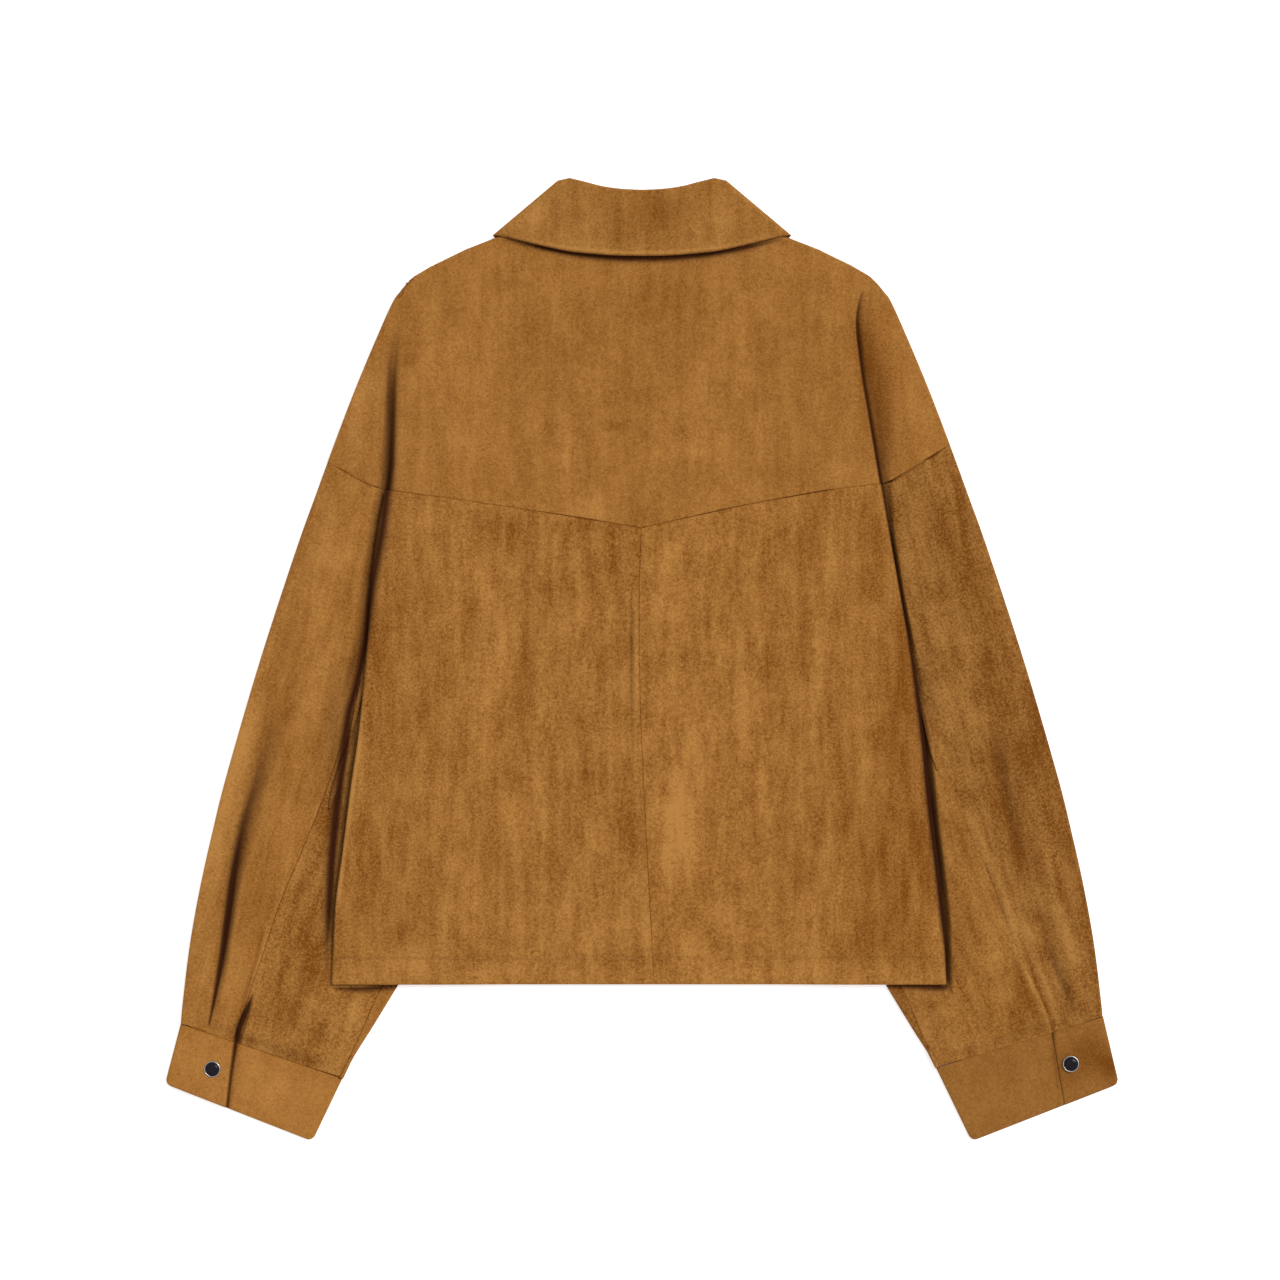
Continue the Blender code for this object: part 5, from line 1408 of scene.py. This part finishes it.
def polished(name, scale, first, second, rough, **constants):
    # Two tones mixed by a fine noise, which also varies the roughness by rough[0] over rough[1]
    paint = Paint(name, **constants)
    place = paint.add("TexCoord", output=3)
    fine = paint.add("TexNoise", None, {"Vector": place, "Scale": scale, "Detail": 2.0})
    paint.feed(paint.shader.inputs["Base Color"], paint.colours(fine, first, second))
    paint.feed(paint.shader.inputs["Roughness"], fine * rough[0] + rough[1])
    return paint.material


def turned(name, profile, centre, steps=48):   # spins a profile of (radius, height) round the vertical
    shape = bmesh.new()
    verts = [shape.verts.new((r * mm, 0, z * mm)) for r, z in profile]
    edges = [shape.edges.new(pair) for pair in zip(verts, verts[1:])]
    bmesh.ops.spin(shape, geom=verts + edges, cent=(0, 0, 0), axis=(0, 0, 1), angle=2 * math.pi,
                   steps=steps, use_merge=True)
    bmesh.ops.remove_doubles(shape, verts=shape.verts, dist=1e-6)
    bmesh.ops.recalc_face_normals(shape, faces=shape.faces)
    bmesh.ops.translate(shape, verts=shape.verts, vec=Vector(centre) * mm)
    mesh = meshOf(name, shape)
    mesh.shade_smooth()
    piece = placed(name, mesh)
    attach(piece, "root")
    return piece


def makeSnaps():
    enamel = polished("snapEnamel", 900.0, (0.008, 0.007, 0.009, 1), (0.018, 0.016, 0.020, 1), (0.1, 0.10),
                      **{"Roughness": 0.16, "Specular IOR Level": 0.08})
    rim = polished("snapRim", 1400.0, (0.40, 0.38, 0.36, 1), (0.62, 0.60, 0.58, 1), (0.2, 0.2),
                   Metallic=1.0)
    dome = [(snaps["radius"] * share, high) for share, high in snaps["dome"]]
    ring = [(snaps["radius"] * share, high) for share, high in snaps["ring"]]
    for name, side in sides.items():
        across, up = side["snap"]
        high = 2 * body["cloth"] + snaps["slack"] + body["layer"] + snaps["lift"]
        centre = (side["sign"] * across, up, high)
        cap = turned(f"cuff_snap_{name}_cap", dome, centre)
        finish(cap, enamel)
        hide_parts(f"cuff_snap_{name}")
        finish(turned(f"cuff_snap_{name}_rim", ring, centre), rim)
    for number in range(1, snaps["front"] + 1):
        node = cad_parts[f"front_snap_{number}"]
        node.data.materials.clear()
        node.data.materials.append(enamel)


makeSnaps()
print("snaps set")


# Hollows: every place is compared with the smoothed height of what lies around it, and painted shade darkens
# its colour by how far it lies below

hollows = {
    "cell": 1.5, "half": 375.0, "reach": 5,                # the grid of heights, and reach in its cells
    "margin": 0.8, "depth": 5.0, "step": 1.2, "stepDepth": 4.0,            # where a hollow's painted shade starts and is full
    "blur": 6, "blurWidth": 2.0, "narrow": 2, "facing": (-0.05, 0.15),
    "darkest": {"left": 0.45, "right": 0.26},
}


def finer(points, times=3):
    for _ in range(2):
        places = np.linspace(0, len(points) - 1, (len(points) - 1) * times + 1)
        low = np.minimum(places.astype(int), len(points) - 2)
        rest = (places - low)[:, None, None]
        points = (points[low] * (1 - rest) + points[low + 1] * rest).swapaxes(0, 1)
    return points.reshape(-1, 3)


def widest(heights, reach):              # the greatest height within reach of every cell
    found = heights.copy()
    for dx in range(-reach, reach + 1):
        for dy in range(-reach, reach + 1):
            if dx * dx + dy * dy <= reach * reach:
                found = np.maximum(found, np.roll(heights, (dx, dy), (0, 1)))
    return found


def shadeHollows():
    cell, half = hollows["cell"], hollows["half"]
    count = int(2 * half / cell)
    heights = np.zeros((count, count))
    for _, points in clothPieces:
        dense = finer(points[..., :3])
        spots = ((dense[:, :2] + half) / cell).astype(int).clip(0, count - 1)
        np.maximum.at(heights, (spots[:, 0], spots[:, 1]), dense[:, 2])
    closed = widest(heights, hollows["reach"])
    closed = -widest(-closed, hollows["reach"])           # valleys no wider than twice the reach are filled
    blur = hollows["blur"]
    weights = np.exp(-(np.arange(-blur, blur + 1) / hollows["blurWidth"]) ** 2)
    weights /= weights.sum()
    narrow = weights[blur - hollows["narrow"]:blur + hollows["narrow"] + 1]
    narrow = narrow / narrow.sum()
    smooth = heights
    for _ in range(2):
        smooth = np.apply_along_axis(np.convolve, 0, smooth, weights, "same").T
        closed = np.apply_along_axis(np.convolve, 0, closed, narrow, "same").T
    for piece, _ in clothPieces:
        if "back_panel" in piece.name:
            continue
        spots = np.array([vert.co for vert in piece.data.vertices]) / mm
        facing = np.array([vert.normal.z for vert in piece.data.vertices])
        column, row = ((spots[:, :2] + half) / cell).astype(int).clip(0, count - 1).T
        valley = (closed[column, row] - spots[:, 2] - hollows["margin"]) / hollows["depth"]
        step = (smooth[column, row] - spots[:, 2] - hollows["step"]) / hollows["stepDepth"]
        paintedShade = piece.data.attributes["paintedShade"].data
        given = np.zeros(len(spots))
        paintedShade.foreach_get("value", given)
        darkest = hollows["darkest"]["right" if "right" in piece.name else "left"]
        # Painted shade: how far a place lies below its surroundings darkens its colour
        found = np.clip(np.maximum(valley, step), 0, 1) * ease(facing, *hollows["facing"]) * darkest
        paintedShade.foreach_set("value", np.clip(np.maximum(found, given), 0, 1))


shadeHollows()
print("hollows shaded")


# Stage: a pale floor, soft light from above and the right, and the camera straight overhead

stage = {
    "photo": 1280, "pixel": 0.76, "centre": (642.0, 659.5),      # its side, a pixel, the jacket's middle
    "height": 3.2, "rest": 0.006, "sensor": 36.0, "clip": (0.1, 20),
    "floor": 3.0, "below": 0.0006,
    "world": 0.56, "sun": 2.05, "sunFrom": (0.55, 0.42, 1.0), "sunAngle": 24.0,
}


def makeStage():
    shape = bmesh.new()
    bmesh.ops.create_grid(shape, x_segments=8, y_segments=8, size=stage["floor"])
    bmesh.ops.translate(shape, verts=shape.verts, vec=(0, 0, -stage["below"]))
    floor = placed("floor", meshOf("floor", shape))
    paint = Paint("floorWhite", **{"Roughness": 0.9, "Specular IOR Level": 0.1,
                                   "Emission Color": (1, 1, 1, 1), "Emission Strength": 0.5})
    place = paint.add("TexCoord", output=3)
    cloudy = paint.add("TexNoise", None, {"Vector": place, "Scale": 2.0})
    tone = paint.colours(cloudy, (0.90, 0.90, 0.90, 1), (0.92, 0.92, 0.92, 1))
    paint.feed(paint.shader.inputs["Base Color"], tone)
    floor.data.materials.append(paint.material)

    world = bpy.data.worlds.new("studio")
    bpy.context.scene.world = world
    world.use_nodes = True
    sky = world.node_tree.nodes["Background"].inputs
    sky["Color"].default_value = (1, 1, 1, 1)
    sky["Strength"].default_value = stage["world"]
    lamp = bpy.data.lights.new("keyLight", "SUN")
    lamp.energy, lamp.angle = stage["sun"], math.radians(stage["sunAngle"])
    holder = placed("keyLight", lamp)
    holder.location = Vector(stage["sunFrom"]) * 3
    holder.rotation_euler = (-holder.location).to_track_quat("-Z", "Y").to_euler()

    pixel, high, half = stage["pixel"] * mm, stage["height"], stage["photo"] / 2
    lens = bpy.data.cameras.new("camera")
    lens.sensor_width = stage["sensor"]
    lens.lens = stage["sensor"] * high / (stage["photo"] * pixel)
    lens.clip_start, lens.clip_end = stage["clip"]
    camera = placed("camera", lens)
    right, down = stage["centre"]
    camera.location = ((half - right) * pixel, (down - half) * pixel, high + stage["rest"])
    bpy.context.scene.camera = camera
    bpy.context.scene.view_settings.view_transform = "Standard"


makeStage()
print("stage ready")
